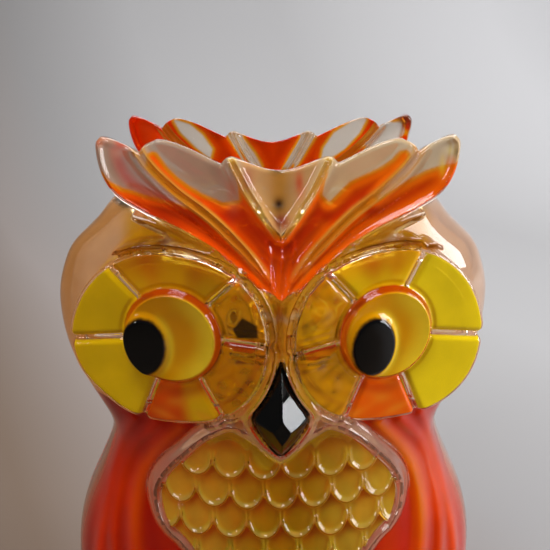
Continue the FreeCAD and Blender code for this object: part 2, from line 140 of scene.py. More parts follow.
class Table:
    """A function of (x, z) sampled on a fine grid and read back smoothly."""

    def __init__(self, fn, x0, x1, z0, z1, pitch):
        self.x0, self.z0, self.h = x0, z0, pitch
        xs = np.arange(x0, x1 + pitch, pitch)
        zs = np.arange(z0, z1 + pitch, pitch)
        self.nx, self.nz = len(xs), len(zs)
        self.v = fn(xs[:, None], zs[None, :]).astype(F32)

    def __call__(self, x, z):
        u = np.clip((x - self.x0) / self.h, 0, self.nx - 1.001)
        w = np.clip((z - self.z0) / self.h, 0, self.nz - 1.001)
        i, k = u.astype(np.int32), w.astype(np.int32)
        fu, fw = u - i, w - k
        v = self.v
        return ((v[i, k] * (1 - fu) + v[i + 1, k] * fu) * (1 - fw)
                + (v[i, k + 1] * (1 - fu) + v[i + 1, k + 1] * fu) * fw)


# ------------------------------------------------------------------ outlines (mm, front view)
STATIONS = [(0.0, 44.0, 30.0), (8.0, 47.0, 32.0), (25.0, 55.0, 36.0), (42.0, 57.5, 37.0), (52.0, 57.5, 36.2),
            (62.0, 56.2, 35.0), (72.0, 53.0, 33.2), (80.0, 49.3, 31.5), (86.0, 46.7, 30.1), (92.0, 45.2, 29.0),
            (100.0, 48.0, 28.5), (112.0, 54.0, 27.0), (124.0, 56.4, 26.5), (132.0, 56.0, 26.2),
            (138.0, 54.2, 26.0), (143.0, 51.4, 25.8), (146.5, 47.8, 25.7), (150.0, 44.3, 25.5),
            (156.0, 40.5, 25.0)]
Wz = spline([s[0] for s in STATIONS], [s[1] for s in STATIONS])
Dz = spline([s[0] for s in STATIONS], [s[2] for s in STATIONS])

CREST_LOW = [(0, 135.3), (3.3, 137.4), (5.6, 139.5), (7.8, 141.6), (10, 143.5),
             (13.3, 146.0), (16.6, 148.3), (19.9, 150.3), (23.1, 152.1), (26.4, 153.7),
             (29.3, 155.2), (31.8, 156.6), (34.1, 158.0), (36.0, 159.6), (37.4, 161.5),
             (38.5, 163.7), (39.2, 166.0), (39.6, 168.7), (39.5, 170.7), (38.4, 171.9)]
CREST_TOP = [[(38.4, 171.9), (36.0, 171.3), (33.0, 169.9), (30.5, 168.4)],
             [(30.5, 168.4), (29.2, 170.0), (26.8, 171.2)],
             [(26.8, 171.2), (24.5, 171.0), (20.2, 169.5), (16.3, 167.6), (12.9, 165.9)],
             [(12.9, 165.9), (11.8, 167.0), (10.5, 167.4)],
             [(10.5, 167.4), (7.0, 166.2), (3.2, 164.9), (0, 164.4)]]
right = list(curve_points(CREST_LOW, per=2))
for chain in CREST_TOP:
    right += list(curve_points(chain, per=3))[1:]
right = np.array(right)
CREST = np.concatenate([right, (right * [-1, 1])[::-1][1:-1]])
LOWER_EDGE = curve_points(CREST_LOW, per=2)
BAND1 = curve_points([(0.6, 136.6), (2.6, 140.0), (4.4, 142.6), (7.0, 146.0), (10.0, 149.3),
                      (13.2, 152.6), (16.5, 155.6), (19.7, 158.0), (22.7, 160.3),
                      (25.2, 162.6), (27.4, 164.8), (29.0, 166.7), (30.6, 169.2)], per=2)
BAND2 = curve_points([(0.6, 150.0), (2.4, 152.8), (4.3, 155.6), (6.0, 158.2), (7.6, 160.8),
                      (9.0, 163.6), (10.2, 166.0), (10.8, 168.2)], per=2)
HEART_HALF = [(0, 97.6), (4.5, 101.2), (8.8, 104.1), (12.5, 105.1), (17.0, 103.2),
              (20.8, 100.4), (24.8, 96.2), (28.6, 92.0), (31.2, 88.3), (32.7, 84.4),
              (32.3, 80.0), (31.0, 76.4), (28.6, 73.6), (25.6, 71.6), (20.6, 66.0),
              (15.0, 58.4), (8.6, 49.6), (3.6, 43.4), (0, 40.6)]
_h = curve_points(HEART_HALF, per=3)
HEART = np.concatenate([_h, (_h * [-1, 1])[::-1][1:-1]])

LEAN = math.radians(8.0)
TURN = math.radians(14.0)
EYE = (27.0, -25.5, 127.0)
IRIS = (-1.9, -0.9)
# outline radius about the iris centre, every 20 degrees from the outer side
DISC_ANGLES = np.radians(np.arange(0, 361, 20))
DISC_RADII = [25.3, 24.0, 22.8, 21.8, 20.9, 20.6, 21.4, 22.6, 23.2, 23.2,
              23.4, 23.6, 23.4, 22.6, 22.8, 24.0, 24.3, 25.0, 25.3]
DISC_R = spline(np.degrees(DISC_ANGLES), DISC_RADII)


def disc_radius(ang, s):
    """Outline radius; the two discs differ a little at their lower outer side."""
    a = np.mod(ang + 180.0, 360.0) - 180.0
    more = 0.3 + 2.2 * np.exp(-((a + 36.0) / 24.0) ** 2) if s > 0 else 0.8 * np.exp(-((a + 22.0) / 20.0) ** 2)
    return DISC_R(np.mod(ang, 360.0)) + more


GROOVES = {1: [66.0, -7.0, -67.0, -116.0, -173.0, 133.0],
           -1: [49.0, -5.0, -69.0, -121.0, 181.0, 136.0]}
PUPIL = {1: (-6.0, -3.0, 5.7, 7.1), -1: (4.4, -3.0, 5.3, 7.1)}

BEAK = [(0, 121.0), (1.2, 117.6), (2.7, 114.0), (4.6, 110.6), (6.4, 107.8), (6.5, 106.0), (5.1, 103.0),
        (3.0, 99.9), (1.0, 97.6), (0, 97.1)]
_b = curve_points(BEAK, per=3)
BEAK_LINE = np.concatenate([_b, (_b * [-1, 1])[::-1][1:-1]])

SCALES = []
for row in range(8):
    zc = 95.2 - 7.3 * row
    for col in range(-5, 6):
        xc = (col + (0.5 if row % 2 == 0 else 0.0)) * 8.3
        SCALES.append((row, xc, zc))


def relief_heart(x, z):
    d = poly_distance(x, z, HEART)
    rim = 1.7 * bump(d + 1.35, 1.05)
    inner = step(-2.2, -3.2, d)
    h = np.zeros(np.broadcast(x, z).shape)
    for row, xc, zc in reversed(SCALES):
        rx, rz = 4.45, 5.0
        k = np.sqrt(((x - xc) / rx) ** 2 + ((z - zc) / rz) ** 2 + 1e-6)
        tilt = np.clip((zc - z) / rz, -1, 1)
        one = 0.35 + 0.75 * tilt + 0.75 * bump((1.0 - k) * 4.4 - 0.6, 0.55) * step(-0.45, 0.15, tilt)
        m = step(1.06, 0.94, k)
        h = h * (1 - m) + one * m
    return rim + inner * h, d


FEATHERS = [curve_points(p, per=3) for p in (
    [(24.5, 101.5), (32.0, 92.0), (36.0, 84.0), (37.6, 72.0), (36.0, 56.0), (33.5, 40.0), (33.0, 26.0)],
    [(30.5, 101.5), (37.6, 92.0), (41.2, 82.0), (43.6, 68.0), (42.0, 50.0), (39.5, 34.0), (38.5, 20.0)],
    [(36.5, 101.0), (41.6, 90.0), (45.2, 77.0), (48.6, 60.0), (48.4, 44.0), (45.6, 26.0)])]


def relief_wing(x, z):
    h = 0.0
    ax = np.abs(x)
    for path, amp, wid in zip(FEATHERS, (1.25, 1.0, 0.85), (2.2, 1.8, 1.6)):
        h = h + amp * bump(line_distance(ax, z, path), wid)
    shade = step(8, 16, z)
    return h * shade


def relief_crest(x, z):
    ax = np.abs(x)
    d_out = poly_distance(x, z, CREST)
    d_low = line_distance(ax, z, LOWER_EDGE)
    d1 = line_distance(ax, z, BAND1)
    d2 = line_distance(ax, z, BAND2)
    fade = step(136, 150, z)
    ridges = (0.85 * bump(d1 - 0.95 * fade, 0.62) + 0.85 * bump(d2 - 0.8 * fade, 0.60)
              + 0.80 * bump(d_low - 0.8, 0.70))
    near = np.minimum(np.minimum(d1, d2), np.abs(d_low - 0.8))
    scoop = -0.95 * (1 - bump(near, 2.1))
    u = np.where(d1 < d_low, d1 / (d1 + d2 + 1e-6), d_low / (d1 + d_low + 1e-6))
    wide = np.where(d1 < d_low, d1 + d2, d1 + d_low)
    streak = 0.26 * np.cos(u * 2 * math.pi * 2.0) * step(164, 150, z) * step(0.8, 2.0, near) * step(3.4, 5.2, wide)
    vee = 0.6 * bump(ax, 0.6) * step(151, 149, z) + 0.6 * bump(
        line_distance(ax, z, [(0, 150.6), (4.4, 155.6)]), 0.6)
    lobe = 0.55 * bump(line_distance(ax, z, [(2.1, 140.5), (2.9, 149.0)]), 0.6)
    return ridges + scoop + streak + vee + lobe, d_out


PITCH2 = 0.2
T_heart = Table(lambda x, z: relief_heart(x, z)[0], -46, 46, 30, 116, PITCH2)
T_heart_d = Table(lambda x, z: poly_distance(x, z, HEART), -62, 62, -4, 120, 0.5)
T_wing = Table(relief_wing, -64, 64, -4, 112, PITCH2)
T_beak = Table(lambda x, z: poly_distance(x, z, BEAK_LINE), -24, 24, 84, 136, PITCH2)
T_brow = Table(lambda x, z: line_distance(np.abs(x), z, LOWER_EDGE) * np.where(poly_distance(x, z, CREST) < 0, -1, 1), -62, 62, 96, 182, 0.4)
T_crest = Table(lambda x, z: relief_crest(x, z)[0], -46, 46, 128, 178, PITCH2)
T_crest_d = Table(lambda x, z: poly_distance(x, z, CREST), -70, 70, 110, 190, PITCH2)


# ------------------------------------------------------------------ field (negative inside)
def disc_local(x, y, z, s):
    X = s * x - EYE[0]
    a = X * math.cos(TURN) + (y - EYE[1]) * math.sin(TURN)
    h = X * math.sin(TURN) - (y - EYE[1]) * math.cos(TURN)
    return a - IRIS[0], z - EYE[2] - IRIS[1], h


def disc_face(a, b, s, detail=True):
    """Height of the disc face over its plane, outline radius, and angle."""
    rho = np.sqrt(a * a + b * b + 1e-6)
    ang = np.degrees(np.arctan2(b, a))
    R = disc_radius(ang, s)
    petal = 0.9 * step(11.5, 25.0, rho) - 0.1
    notch = 0.0
    if detail:
        for g in GROOVES[s]:
            dang = np.mod(ang - g + 180.0, 360.0) - 180.0
            across = rho * np.sin(np.radians(np.clip(dang, -60, 60)))
            petal = petal - 1.25 * bump(across, 1.0) * step(11.4, 13.0, rho)
            notch = notch + 0.7 * bump(across, 1.2)
        # fine steps and lens-like lumps moulded into the clear inner petals
        side = step(118.0, 132.0, np.abs(ang)) * step(13.4, 15.0, rho) * step(23.0, 21.0, rho)
        gi = GROOVES[s][4]
        off = np.abs(rho * np.sin(np.radians(np.clip(np.mod(ang - gi + 180.0, 360.0) - 180.0, -60, 60))))
        lumps = 0.0
        for la, lb, lr, amp in ((-16.5, 6.0, 2.2, 0.55), (-14.0, 11.5, 2.0, 0.40), (-18.0, -6.5, 2.6, 0.45),
                                (-13.5, -11.5, 2.2, 0.40), (-19.5, 10.0, 1.6, -0.40), (-15.0, -6.0, 1.5, -0.3)):
            lumps = lumps + amp * np.exp(-((a - la) ** 2 + (b - lb) ** 2) / lr ** 2)
        petal = petal + side * (0.34 * bump(off - 2.2, 0.6) + 0.26 * bump(off - 3.9, 0.6) + lumps)
    inside = step(11.9, 10.3, rho)
    bowl = 0.55 + 1.15 * np.clip(rho / 10.6, 0, 1.2) ** 2
    face = petal * (1 - inside) + bowl * inside
    if detail:
        face = face - 0.35 * bump(rho - 12.3, 0.6)
    px, pz, pa, pb = PUPIL[s]
    k = np.sqrt(((a + IRIS[0] - px) / pa) ** 2 + ((b + IRIS[1] - pz) / pb) ** 2 + 1e-6)
    dome = 1.5 * step(1.22, 0.86, k) + 0.9 * np.clip(1 - k * k, 0, 1)
    return face + dome, R - notch, rho, ang


def field(x, y, z, detail=True):
    # body
    W, D = Wz(z), Dz(z)
    W1, D1 = Wz(z, True), Dz(z, True)
    ex, ey = (x / W) ** 2, (y / D) ** 2
    k2 = ex + ey + 1e-6
    k = np.sqrt(k2)
    g = np.sqrt(ex / W ** 2 + ey / D ** 2 + 1e-9) / k
    slope = (W1 * ex / W + D1 * ey / D) / k2 / np.maximum(g, 1e-4)
    body = (k - 1) / g / np.sqrt(1 + np.minimum(slope * slope, 4))
    front = step(-6.0, -16.0, y)
    if detail:
        body = body - T_heart(x, z) * front - T_wing(x, z) * step(-3.0, -9.0, y)
    pad = 0.8 * step(0.8, -0.8, T_heart_d(x, z)) * front
    body = body - pad
    top = z - 156.0
    d = smax(body, top, 5.0)
    d = smax(d, -z, 1.5)

    # feet
    for cx, cy in ((10.5, -33.0), (18.5, -33.6), (26.5, -31.6)):
        X = np.abs(x) - cx
        q = np.sqrt((X / 4.0) ** 2 + ((y - cy) / 6.0) ** 2 + ((z - 3.2) / 4.4) ** 2 + 1e-6)
        toe = (q - 1) * 4.0
        d = smin(d, smax(toe, -z, 1.0), 1.6)

    # eye discs, iris bowls, pupil domes and the beads round their inner edge
    for s in (1, -1):
        a, b, h = disc_local(x, y, z, s)
        face, R, rho, ang = disc_face(a, b, s, detail)
        plate = smax(rho - R, (h - face) * 0.9, 1.4)
        plate = smax(plate, -h - 14.0, 1.0)
        inner = step(35.0, 62.0, ang) + step(-92.0, -112.0, ang)
        lift = 0.45 * inner
        ring = smax(np.abs(rho - R - 1.25) - 0.85, h - 0.35 - lift, 1.3)
        ring = smax(ring, -h - 12.0, 1.0) + (1 - inner) * 3.0
        d = smin(d, plate, 0.8)
        if detail:
            d = smin(d, ring, 0.6)
    if detail:
        db = T_brow(x, z)
        span = step(4.0, 8.0, np.abs(x)) * step(38.0, 34.5, np.abs(x)) * step(158.0, 153.0, z)
        brow = smax(np.abs(db - 2.5) - 1.05, -(y + 24.6 + 2.6 * step(30, 8, np.abs(x))), 1.5)
        brow = smax(brow, y + 12.0, 1.0) + (1 - span) * 5.0
        d = smin(d, brow, 1.4)

    # crest
    q = (y + 29.7 - (z - 135.3) * math.tan(LEAN)) * math.cos(LEAN)
    rel = T_crest(x, z) if detail else 0.0
    dc = T_crest_d(x, z)
    plate = smax(smax(dc, -q - rel, 1.3), q - 3.0 - 0.45 * rel, 1.0)
    block = smax(smax(dc, 1.8 - q, 1.0), smax(q - 16.0, z - 154.6, 5.0), 1.0)
    crest = smin(plate, block, 0.6)
    d = smin(d, crest, 1.2)

    # beak: a faceted gem over its outline, and the bead round it
    db = T_beak(x, z)
    face = (-(y + 31.2) + 1.35 * np.maximum(db, -4.4)) * 0.6
    beak = smax(face, db, 0.7)
    beak = smax(beak, y + 20.0, 1.0)
    if detail:
        bead = smax(np.abs(db - 1.5) - 1.0, -(y + 31.3) * 0.9, 1.3)
        bead = smax(bead, y + 20.0, 1.0)
        d = smin(d, bead, 0.7)
    d = smin(d, beak, 0.3)
    return d


def half_field(x, y, z):
    """One half shell: outer form less the cavity, slot and base openings."""
    yy = -np.abs(y)
    d = field(x, yy, z)
    low = field(x, yy, z, detail=False)
    cavity = low + WALL
    solid = smax(d, -cavity, 0.5)
    slot = smax(np.abs(x) - 1.6, np.abs(y) - 17.0, 0.6)
    slot = np.maximum(slot, 149.0 - z)
    solid = smax(solid, -slot, 0.6)
    r = np.sqrt(x * x + y * y)
    hole = smax(r - 15.0, z - 6.0, 0.3)
    recess = smax(r - 18.4, z - 1.4, 0.3)
    solid = smax(solid, -np.minimum(hole, recess), 0.4)
    solid = smax(solid, 0.02 - z, 0.3)
    return smax(solid, y + 0.03, 0.3)


def gradient(fn, p, e=0.12):
    g = np.empty_like(p)
    for i in range(3):
        o = np.zeros(3)
        o[i] = e
        g[:, i] = fn(*(p + o).T) - fn(*(p - o).T)
    return g / (2 * e)


def half_mesh():
    h = VOXEL
    lo = np.array([-61.0, -44.0, -2.0])
    n = np.ceil((np.array([61.0, 1.5, 175.0]) - lo) / h).astype(int)
    ax = [lo[i] + h * np.arange(n[i]) for i in range(3)]
    grid = np.empty(n, F32)
    for i0 in range(0, n[0], 24):
        i1 = min(i0 + 24, n[0])
        grid[i0:i1] = half_field(ax[0][i0:i1, None, None], ax[1][None, :, None], ax[2][None, None, :])
    vdb = openvdb.FloatGrid(9.0)
    vdb.copyFromArray(np.clip(grid, -9, 9))
    out = vdb.convertToQuads(isovalue=0.0)
    pts, quads = np.asarray(out[0], float), np.asarray(out[1])
    p = pts * h + lo
    p, nrm = settle(p, 3, 0.12, 0.35)
    return p, quads, nrm


def settle(p, rounds=3, e=0.12, reach=0.3):
    """Move points onto the surface and give their normals."""
    for _ in range(rounds):
        f = half_field(*p.T)
        g = gradient(half_field, p, e)
        gg = np.maximum((g * g).sum(1), 0.25)
        move = -(f / gg)[:, None] * g
        size = np.linalg.norm(move, axis=1, keepdims=True)
        p = p + move * np.minimum(1.0, reach * VOXEL / np.maximum(size, 1e-9))
    g = gradient(half_field, p, 0.08)
    return p, g / np.maximum(np.linalg.norm(g, axis=1, keepdims=True), 1e-9)


def refine(p, quads, nrm, flag):
    """Split the flagged quads in four; their plain neighbours take in the new edge points."""
    m = len(p)
    sides = np.concatenate([quads[:, [k, (k + 1) % 4]] for k in range(4)])
    pair = np.sort(sides, axis=1)
    key = pair[:, 0].astype(np.int64) * m + pair[:, 1]
    uniq, inverse = np.unique(key, return_inverse=True)
    inverse = inverse.reshape(4, len(quads))
    need = np.zeros(len(uniq), bool)
    need[inverse[:, flag].ravel()] = True
    mid = np.full(len(uniq), -1)
    mid[need] = m + np.arange(need.sum())
    a, b = uniq[need] // m, uniq[need] % m
    fq = quads[flag]
    fresh = np.concatenate([(p[a] + p[b]) / 2, p[fq].mean(1)])
    fresh, fresh_n = settle(fresh)
    centre = m + need.sum() + np.arange(len(fq))
    e = mid[inverse[:, flag]]
    fine = np.concatenate([np.stack([fq[:, k], e[k], centre, e[(k + 3) % 4]], axis=1) for k in range(4)])
    rest, er = quads[~flag], mid[inverse[:, ~flag]].T
    touched = (er >= 0).any(1)
    plain = rest[~touched]
    many = []
    for corner, extra in zip(rest[touched].tolist(), er[touched].tolist()):
        face = []
        for k in range(4):
            face.append(corner[k])
            if extra[k] >= 0:
                face.append(extra[k])
        many.append(tuple(face))
    return np.concatenate([p, fresh]), np.concatenate([nrm, fresh_n]), fine, plain, many


def turn_half(p, n):
    """The other half is the same moulding turned half a turn about +Z."""
    flip = np.array([-1.0, -1.0, 1.0])
    return p * flip, n * flip


def make_mesh(name, p, faces, normals=None, material=None, smooth=True):
    me = bpy.data.meshes.new(name)
    me.from_pydata((p * MM).tolist(), [], faces.tolist() if hasattr(faces, "tolist") else faces)
    me.update()
    if smooth:
        me.polygons.foreach_set("use_smooth", [True] * len(me.polygons))
    if normals is not None:
        me.normals_split_custom_set_from_vertices(normals.tolist())
    ob = bpy.data.objects.new(name, me)
    bpy.context.scene.collection.objects.link(ob)
    if material is not None:
        me.materials.append(material)
    return ob


def outward(p, quads, nrm):
    """Face winding agrees with the outward normals."""
    a, b, c, d = (p[quads[:, i]] for i in range(4))
    fn = np.cross(c - a, d - b)
    flip = (fn * nrm[quads].mean(1)).sum(1) < 0
    quads = quads.copy()
    quads[flip] = quads[flip][:, ::-1]
    return quads


P, Q, N = half_mesh()
Q = outward(P, Q, N)


def detailed(p):
    """Points of the crest, discs, beak, heart and brow, where the finer mesh goes."""
    x, y, z = p.T
    outer = (np.abs(field(x, -np.abs(y), z)) < 0.25) & (y < -12.0)
    face = (z > 128.0) & (np.abs(x) < 44.0)
    heart = (T_heart_d(x, z) < 4.5) & (y < -15.0)
    eyes = np.zeros(len(x), bool)
    for s in (1, -1):
        a, b, h = disc_local(x, y, z, s)
        eyes |= (np.hypot(a, b) < 29.5) & (h > -4.5) & (s * x > -3.0)
    return outer & (face | heart | eyes | ((np.abs(T_beak(x, z)) < 4.0) | (T_beak(x, z) < 0)) & (y < -24.0))


SHELL_P, SHELL_N, FINE_Q, PLAIN_Q, MANY = refine(P, Q, N, detailed(P)[Q].all(1))
SHELL_FACES = FINE_Q.tolist() + PLAIN_Q.tolist() + MANY
print("half mesh", len(SHELL_P), "points", len(SHELL_FACES), "faces", len(FINE_Q), "fine")


# ------------------------------------------------------------------ materials
def new_material(name):
    m = bpy.data.materials.new(name)
    m.use_nodes = True
    m.node_tree.nodes.clear()
    return m, m.node_tree.nodes, m.node_tree.links


def clear_plastic(name, tint, rough, shadow):
    """Moulded clear polystyrene. Light from lamps and off paint passes straight."""
    m, nodes, links = new_material(name)
    out = nodes.new("ShaderNodeOutputMaterial")
    glass = nodes.new("ShaderNodeBsdfPrincipled")
    glass.inputs["Base Color"].default_value = (*tint, 1.0)
    glass.inputs["Transmission Weight"].default_value = 1.0
    glass.inputs["IOR"].default_value = 1.57
    glass.inputs["Specular Tint"].default_value = (0.42, 0.42, 0.42, 1.0)
    coord = nodes.new("ShaderNodeTexCoord")
    wave = nodes.new("ShaderNodeTexNoise")
    wave.inputs["Scale"].default_value = 85.0
    wave.inputs["Detail"].default_value = 2.0
    fine = nodes.new("ShaderNodeTexNoise")
    fine.inputs["Scale"].default_value = 900.0
    fine.inputs["Detail"].default_value = 3.0
    links.new(coord.outputs["Object"], wave.inputs["Vector"])
    links.new(coord.outputs["Object"], fine.inputs["Vector"])
    b = nodes.new("ShaderNodeBump")
    b.inputs["Strength"].default_value = 0.06
    b.inputs["Distance"].default_value = 0.0006
    links.new(wave.outputs["Fac"], b.inputs["Height"])
    links.new(b.outputs["Normal"], glass.inputs["Normal"])
    ramp = nodes.new("ShaderNodeMapRange")
    ramp.inputs["From Min"].default_value = 0.35
    ramp.inputs["From Max"].default_value = 0.75
    ramp.inputs["To Min"].default_value = rough
    ramp.inputs["To Max"].default_value = rough + 0.06
    links.new(fine.outputs["Fac"], ramp.inputs["Value"])
    links.new(ramp.outputs["Result"], glass.inputs["Roughness"])
    path = nodes.new("ShaderNodeLightPath")
    either = nodes.new("ShaderNodeMath")
    either.operation = "MAXIMUM"
    links.new(path.outputs["Is Shadow Ray"], either.inputs[0])
    links.new(path.outputs["Is Diffuse Ray"], either.inputs[1])
    through = nodes.new("ShaderNodeBsdfTransparent")
    through.inputs["Color"].default_value = (*shadow, 1.0)
    mix = nodes.new("ShaderNodeMixShader")
    links.new(either.outputs[0], mix.inputs[0])
    links.new(glass.outputs[0], mix.inputs[1])
    links.new(through.outputs[0], mix.inputs[2])
    links.new(mix.outputs[0], out.inputs["Surface"])
    return m


def paint_film(name, soft, mottle_size, mottle_low, gloss_share):
    """Colour coat. tint: colour and distance inside its edge; pane: see-through tint and share."""
    m, nodes, links = new_material(name)
    out = nodes.new("ShaderNodeOutputMaterial")
    tint = nodes.new("ShaderNodeAttribute")
    tint.attribute_name = "tint"
    pane = nodes.new("ShaderNodeAttribute")
    pane.attribute_name = "pane"
    coord = nodes.new("ShaderNodeTexCoord")
    mottle = nodes.new("ShaderNodeTexNoise")
    mottle.inputs["Scale"].default_value = mottle_size
    mottle.inputs["Detail"].default_value = 4.0
    links.new(coord.outputs["Object"], mottle.inputs["Vector"])
    vary = nodes.new("ShaderNodeMapRange")
    vary.inputs["From Min"].default_value = 0.3
    vary.inputs["From Max"].default_value = 0.7
    vary.inputs["To Min"].default_value = mottle_low
    vary.inputs["To Max"].default_value = 1.06
    links.new(mottle.outputs["Fac"], vary.inputs["Value"])
    body = nodes.new("ShaderNodeVectorMath")
    body.operation = "SCALE"
    links.new(tint.outputs["Color"], body.inputs[0])
    links.new(vary.outputs["Result"], body.inputs["Scale"])
    diff = nodes.new("ShaderNodeBsdfDiffuse")
    tran = nodes.new("ShaderNodeBsdfTranslucent")
    links.new(body.outputs["Vector"], diff.inputs["Color"])
    links.new(body.outputs["Vector"], tran.inputs["Color"])
    solid = nodes.new("ShaderNodeMixShader")
    solid.inputs[0].default_value = gloss_share
    links.new(diff.outputs[0], solid.inputs[1])
    links.new(tran.outputs[0], solid.inputs[2])
    see = nodes.new("ShaderNodeBsdfTransparent")
    links.new(pane.outputs["Color"], see.inputs["Color"])
    film = nodes.new("ShaderNodeMixShader")
    links.new(pane.outputs["Alpha"], film.inputs[0])
    links.new(solid.outputs[0], film.inputs[1])
    links.new(see.outputs[0], film.inputs[2])
    bare = nodes.new("ShaderNodeBsdfTransparent")
    ragged = nodes.new("ShaderNodeTexNoise")
    ragged.inputs["Scale"].default_value = 900.0
    ragged.inputs["Detail"].default_value = 2.0
    links.new(coord.outputs["Object"], ragged.inputs["Vector"])
    wobble = nodes.new("ShaderNodeMath")
    wobble.operation = "MULTIPLY_ADD"
    wobble.inputs[1].default_value = soft * 0.9
    wobble.inputs[2].default_value = -soft * 0.45
    links.new(ragged.outputs["Fac"], wobble.inputs[0])
    near = nodes.new("ShaderNodeMath")
    near.operation = "ADD"
    links.new(tint.outputs["Alpha"], near.inputs[0])
    links.new(wobble.outputs[0], near.inputs[1])
    cover = nodes.new("ShaderNodeMapRange")
    cover.interpolation_type = "SMOOTHSTEP"
    cover.inputs["From Min"].default_value = -soft
    cover.inputs["From Max"].default_value = soft
    links.new(near.outputs[0], cover.inputs["Value"])
    last = nodes.new("ShaderNodeMixShader")
    links.new(cover.outputs["Result"], last.inputs[0])
    links.new(bare.outputs[0], last.inputs[1])
    links.new(film.outputs[0], last.inputs[2])
    links.new(last.outputs[0], out.inputs["Surface"])
    return m


def film_back():
    m, nodes, links = new_material("film_inner_side")
    out = nodes.new("ShaderNodeOutputMaterial")
    t = nodes.new("ShaderNodeBsdfTransparent")
    links.new(t.outputs[0], out.inputs["Surface"])
    return m


CLEAR = clear_plastic("clear_polystyrene", (0.99, 0.975, 0.94), 0.015, (0.90, 0.89, 0.86))
PAINTS = {"crest": paint_film("crest_dye_and_painted_light", 0.5, 160.0, 0.94, 0.22),
          "petal": paint_film("petal_paint_and_painted_light", 0.22, 120.0, 0.92, 0.12),
          "iris": paint_film("iris_paint_and_painted_light", 0.30, 120.0, 0.94, 0.12),
          "pupil": paint_film("pupil_paint", 0.42, 200.0, 0.80, 0.1),
          "beak": paint_film("beak_paint", 0.15, 200.0, 0.80, 0.1),
          "chest": paint_film("chest_dye_and_painted_light", 0.35, 200.0, 0.84, 0.4),
          "wing": paint_film("wing_dye_and_painted_light", 0.60, 110.0, 0.86, 0.3),
          "wash": paint_film("painted_see_through_tint", 0.60, 90.0, 0.86, 0.5)}
BACKSIDE = film_back()


# ------------------------------------------------------------------ films
def srgb(r, g, b):
    c = np.array([r, g, b], float) / 255.0
    return np.where(c <= 0.04045, c / 12.92, ((c + 0.055) / 1.055) ** 2.4)


def mixc(a, b, t):
    t = np.clip(t, 0, 1)
    t = t[:, None] if np.ndim(t) else t
    return a * (1 - t) + b * t


def absorb(t, k):
    """Colour of dye of thickness t, per channel absorption k."""
    return np.exp(-np.asarray(t)[:, None] * np.asarray(k)[None, :])


def sample(p, quads, nrm):
    """Set the points the film zones are worked out on."""
    global P, Q, N, X, Y, Z, AX, OUTER, DC, Q_CREST, ON_CREST, EYES
    P, Q, N = p, quads, nrm
    X, Y, Z = P.T
    AX = np.abs(X)
    OUTER = (np.abs(field(X, -np.abs(Y), Z)) < 0.22) & (Y < -0.5)
    DC = T_crest_d(X, Z)
    Q_CREST = (Y + 29.7 - (Z - 135.3) * math.tan(LEAN)) * math.cos(LEAN)
    ON_CREST = OUTER & (Q_CREST < 1.9) & (DC < 0.9) & (Y < -10) & (Z > 134)
    EYES = {}
    for s in (1, -1):
        a, b, h = disc_local(X, Y, Z, s)
        rho = np.hypot(a, b)
        ang = np.mod(np.degrees(np.arctan2(b, a)), 360)
        EYES[s] = (a, b, h, rho, ang, disc_radius(ang, s))


def eye_edge(s):
    """Distance in mm inside the disc outline."""
    a, b, h, rho, ang, R = EYES[s]
    return np.where((s * X > -2) & (h > -3.2), R - rho, -30.0)


def windows(x, z, back):
    """Signed distance in mm to the unpainted crest windows, positive in paint."""
    if back:
        polys = [[(-38.6, 166.9), (-36.4, 169.6), (-32.5, 169.6), (-29.5, 166.4), (-26.8, 163.0), (-30.5, 163.4), (-35.0, 164.6)],
                 [(-26.8, 171.4), (-22.6, 169.8), (-18.0, 166.8), (-15.2, 162.4), (-14.8, 159.8), (-17.5, 160.2),
                  (-21.0, 162.6), (-24.8, 167.0)],
                 [(-12.8, 167.2), (-9.6, 166.8), (-6.2, 161.0), (-4.0, 156.6), (-7.4, 158.0), (-10.0, 162.5)],
                 [(17.0, 162.4), (19.6, 166.4), (23.0, 169.4), (26.8, 170.6), (25.2, 167.4), (21.2, 163.2), (17.6, 160.2)],
                 [(12.0, 166.6), (9.2, 166.8), (5.0, 160.9), (3.0, 157.2), (5.6, 157.8), (9.2, 162.2)]]
    else:
        polys = [[(-41.2, 171.4), (-39.0, 173.0), (-36.3, 172.3), (-33.2, 170.9), (-31.0, 170.1), (-30.2, 167.4),
                  (-28.5, 164.4), (-26.1, 161.9), (-23.3, 159.5), (-21.0, 157.5), (-25.0, 158.6), (-28.3, 159.5),
                  (-31.4, 160.6), (-34.2, 161.5), (-36.4, 162.9), (-38.4, 165.0), (-40.6, 167.5)],
                 [(-27.4, 172.4), (-24.6, 172.2), (-21.5, 170.9), (-18.3, 169.4), (-14.7, 167.5), (-11.4, 166.9),
                  (-10.2, 164.4), (-9.6, 161.4), (-9.4, 158.4), (-12.6, 158.0), (-16.8, 159.9), (-19.6, 161.6),
                  (-22.1, 163.5), (-24.2, 165.7), (-25.8, 167.9)],
                 [(-11.9, 168.6), (-0.9, 166.0), (10.8, 168.6), (8.8, 163.6), (6.2, 158.3), (3.6, 154.4), (0.4, 150.9),
                  (-4.1, 154.9), (-7.8, 160.1), (-10.2, 164.4)],
                 [(40.0, 172.2), (37.4, 173.0), (34.6, 171.4), (32.4, 169.9), (29.8, 168.2), (27.8, 165.7), (25.7, 163.3),
                  (23.4, 161.1), (21.6, 158.7), (25.2, 160.8), (28.4, 162.7), (31.7, 164.4), (35.2, 165.6), (40.0, 166.6)],
                 [(11.4, 167.0), (14.1, 167.7), (17.3, 169.3), (20.6, 170.6), (23.4, 171.9), (26.6, 172.2), (26.2, 169.2),
                  (24.4, 167.0), (21.8, 165.3), (18.5, 163.7), (15.2, 162.2), (12.6, 159.7), (10.9, 158.0),
                  (9.6, 159.3), (10.2, 162.5), (11.0, 164.6)]]
    d = None
    for poly in polys:
        one = poly_distance(x, z, poly)
        d = one if d is None else np.minimum(d, one)
    return d


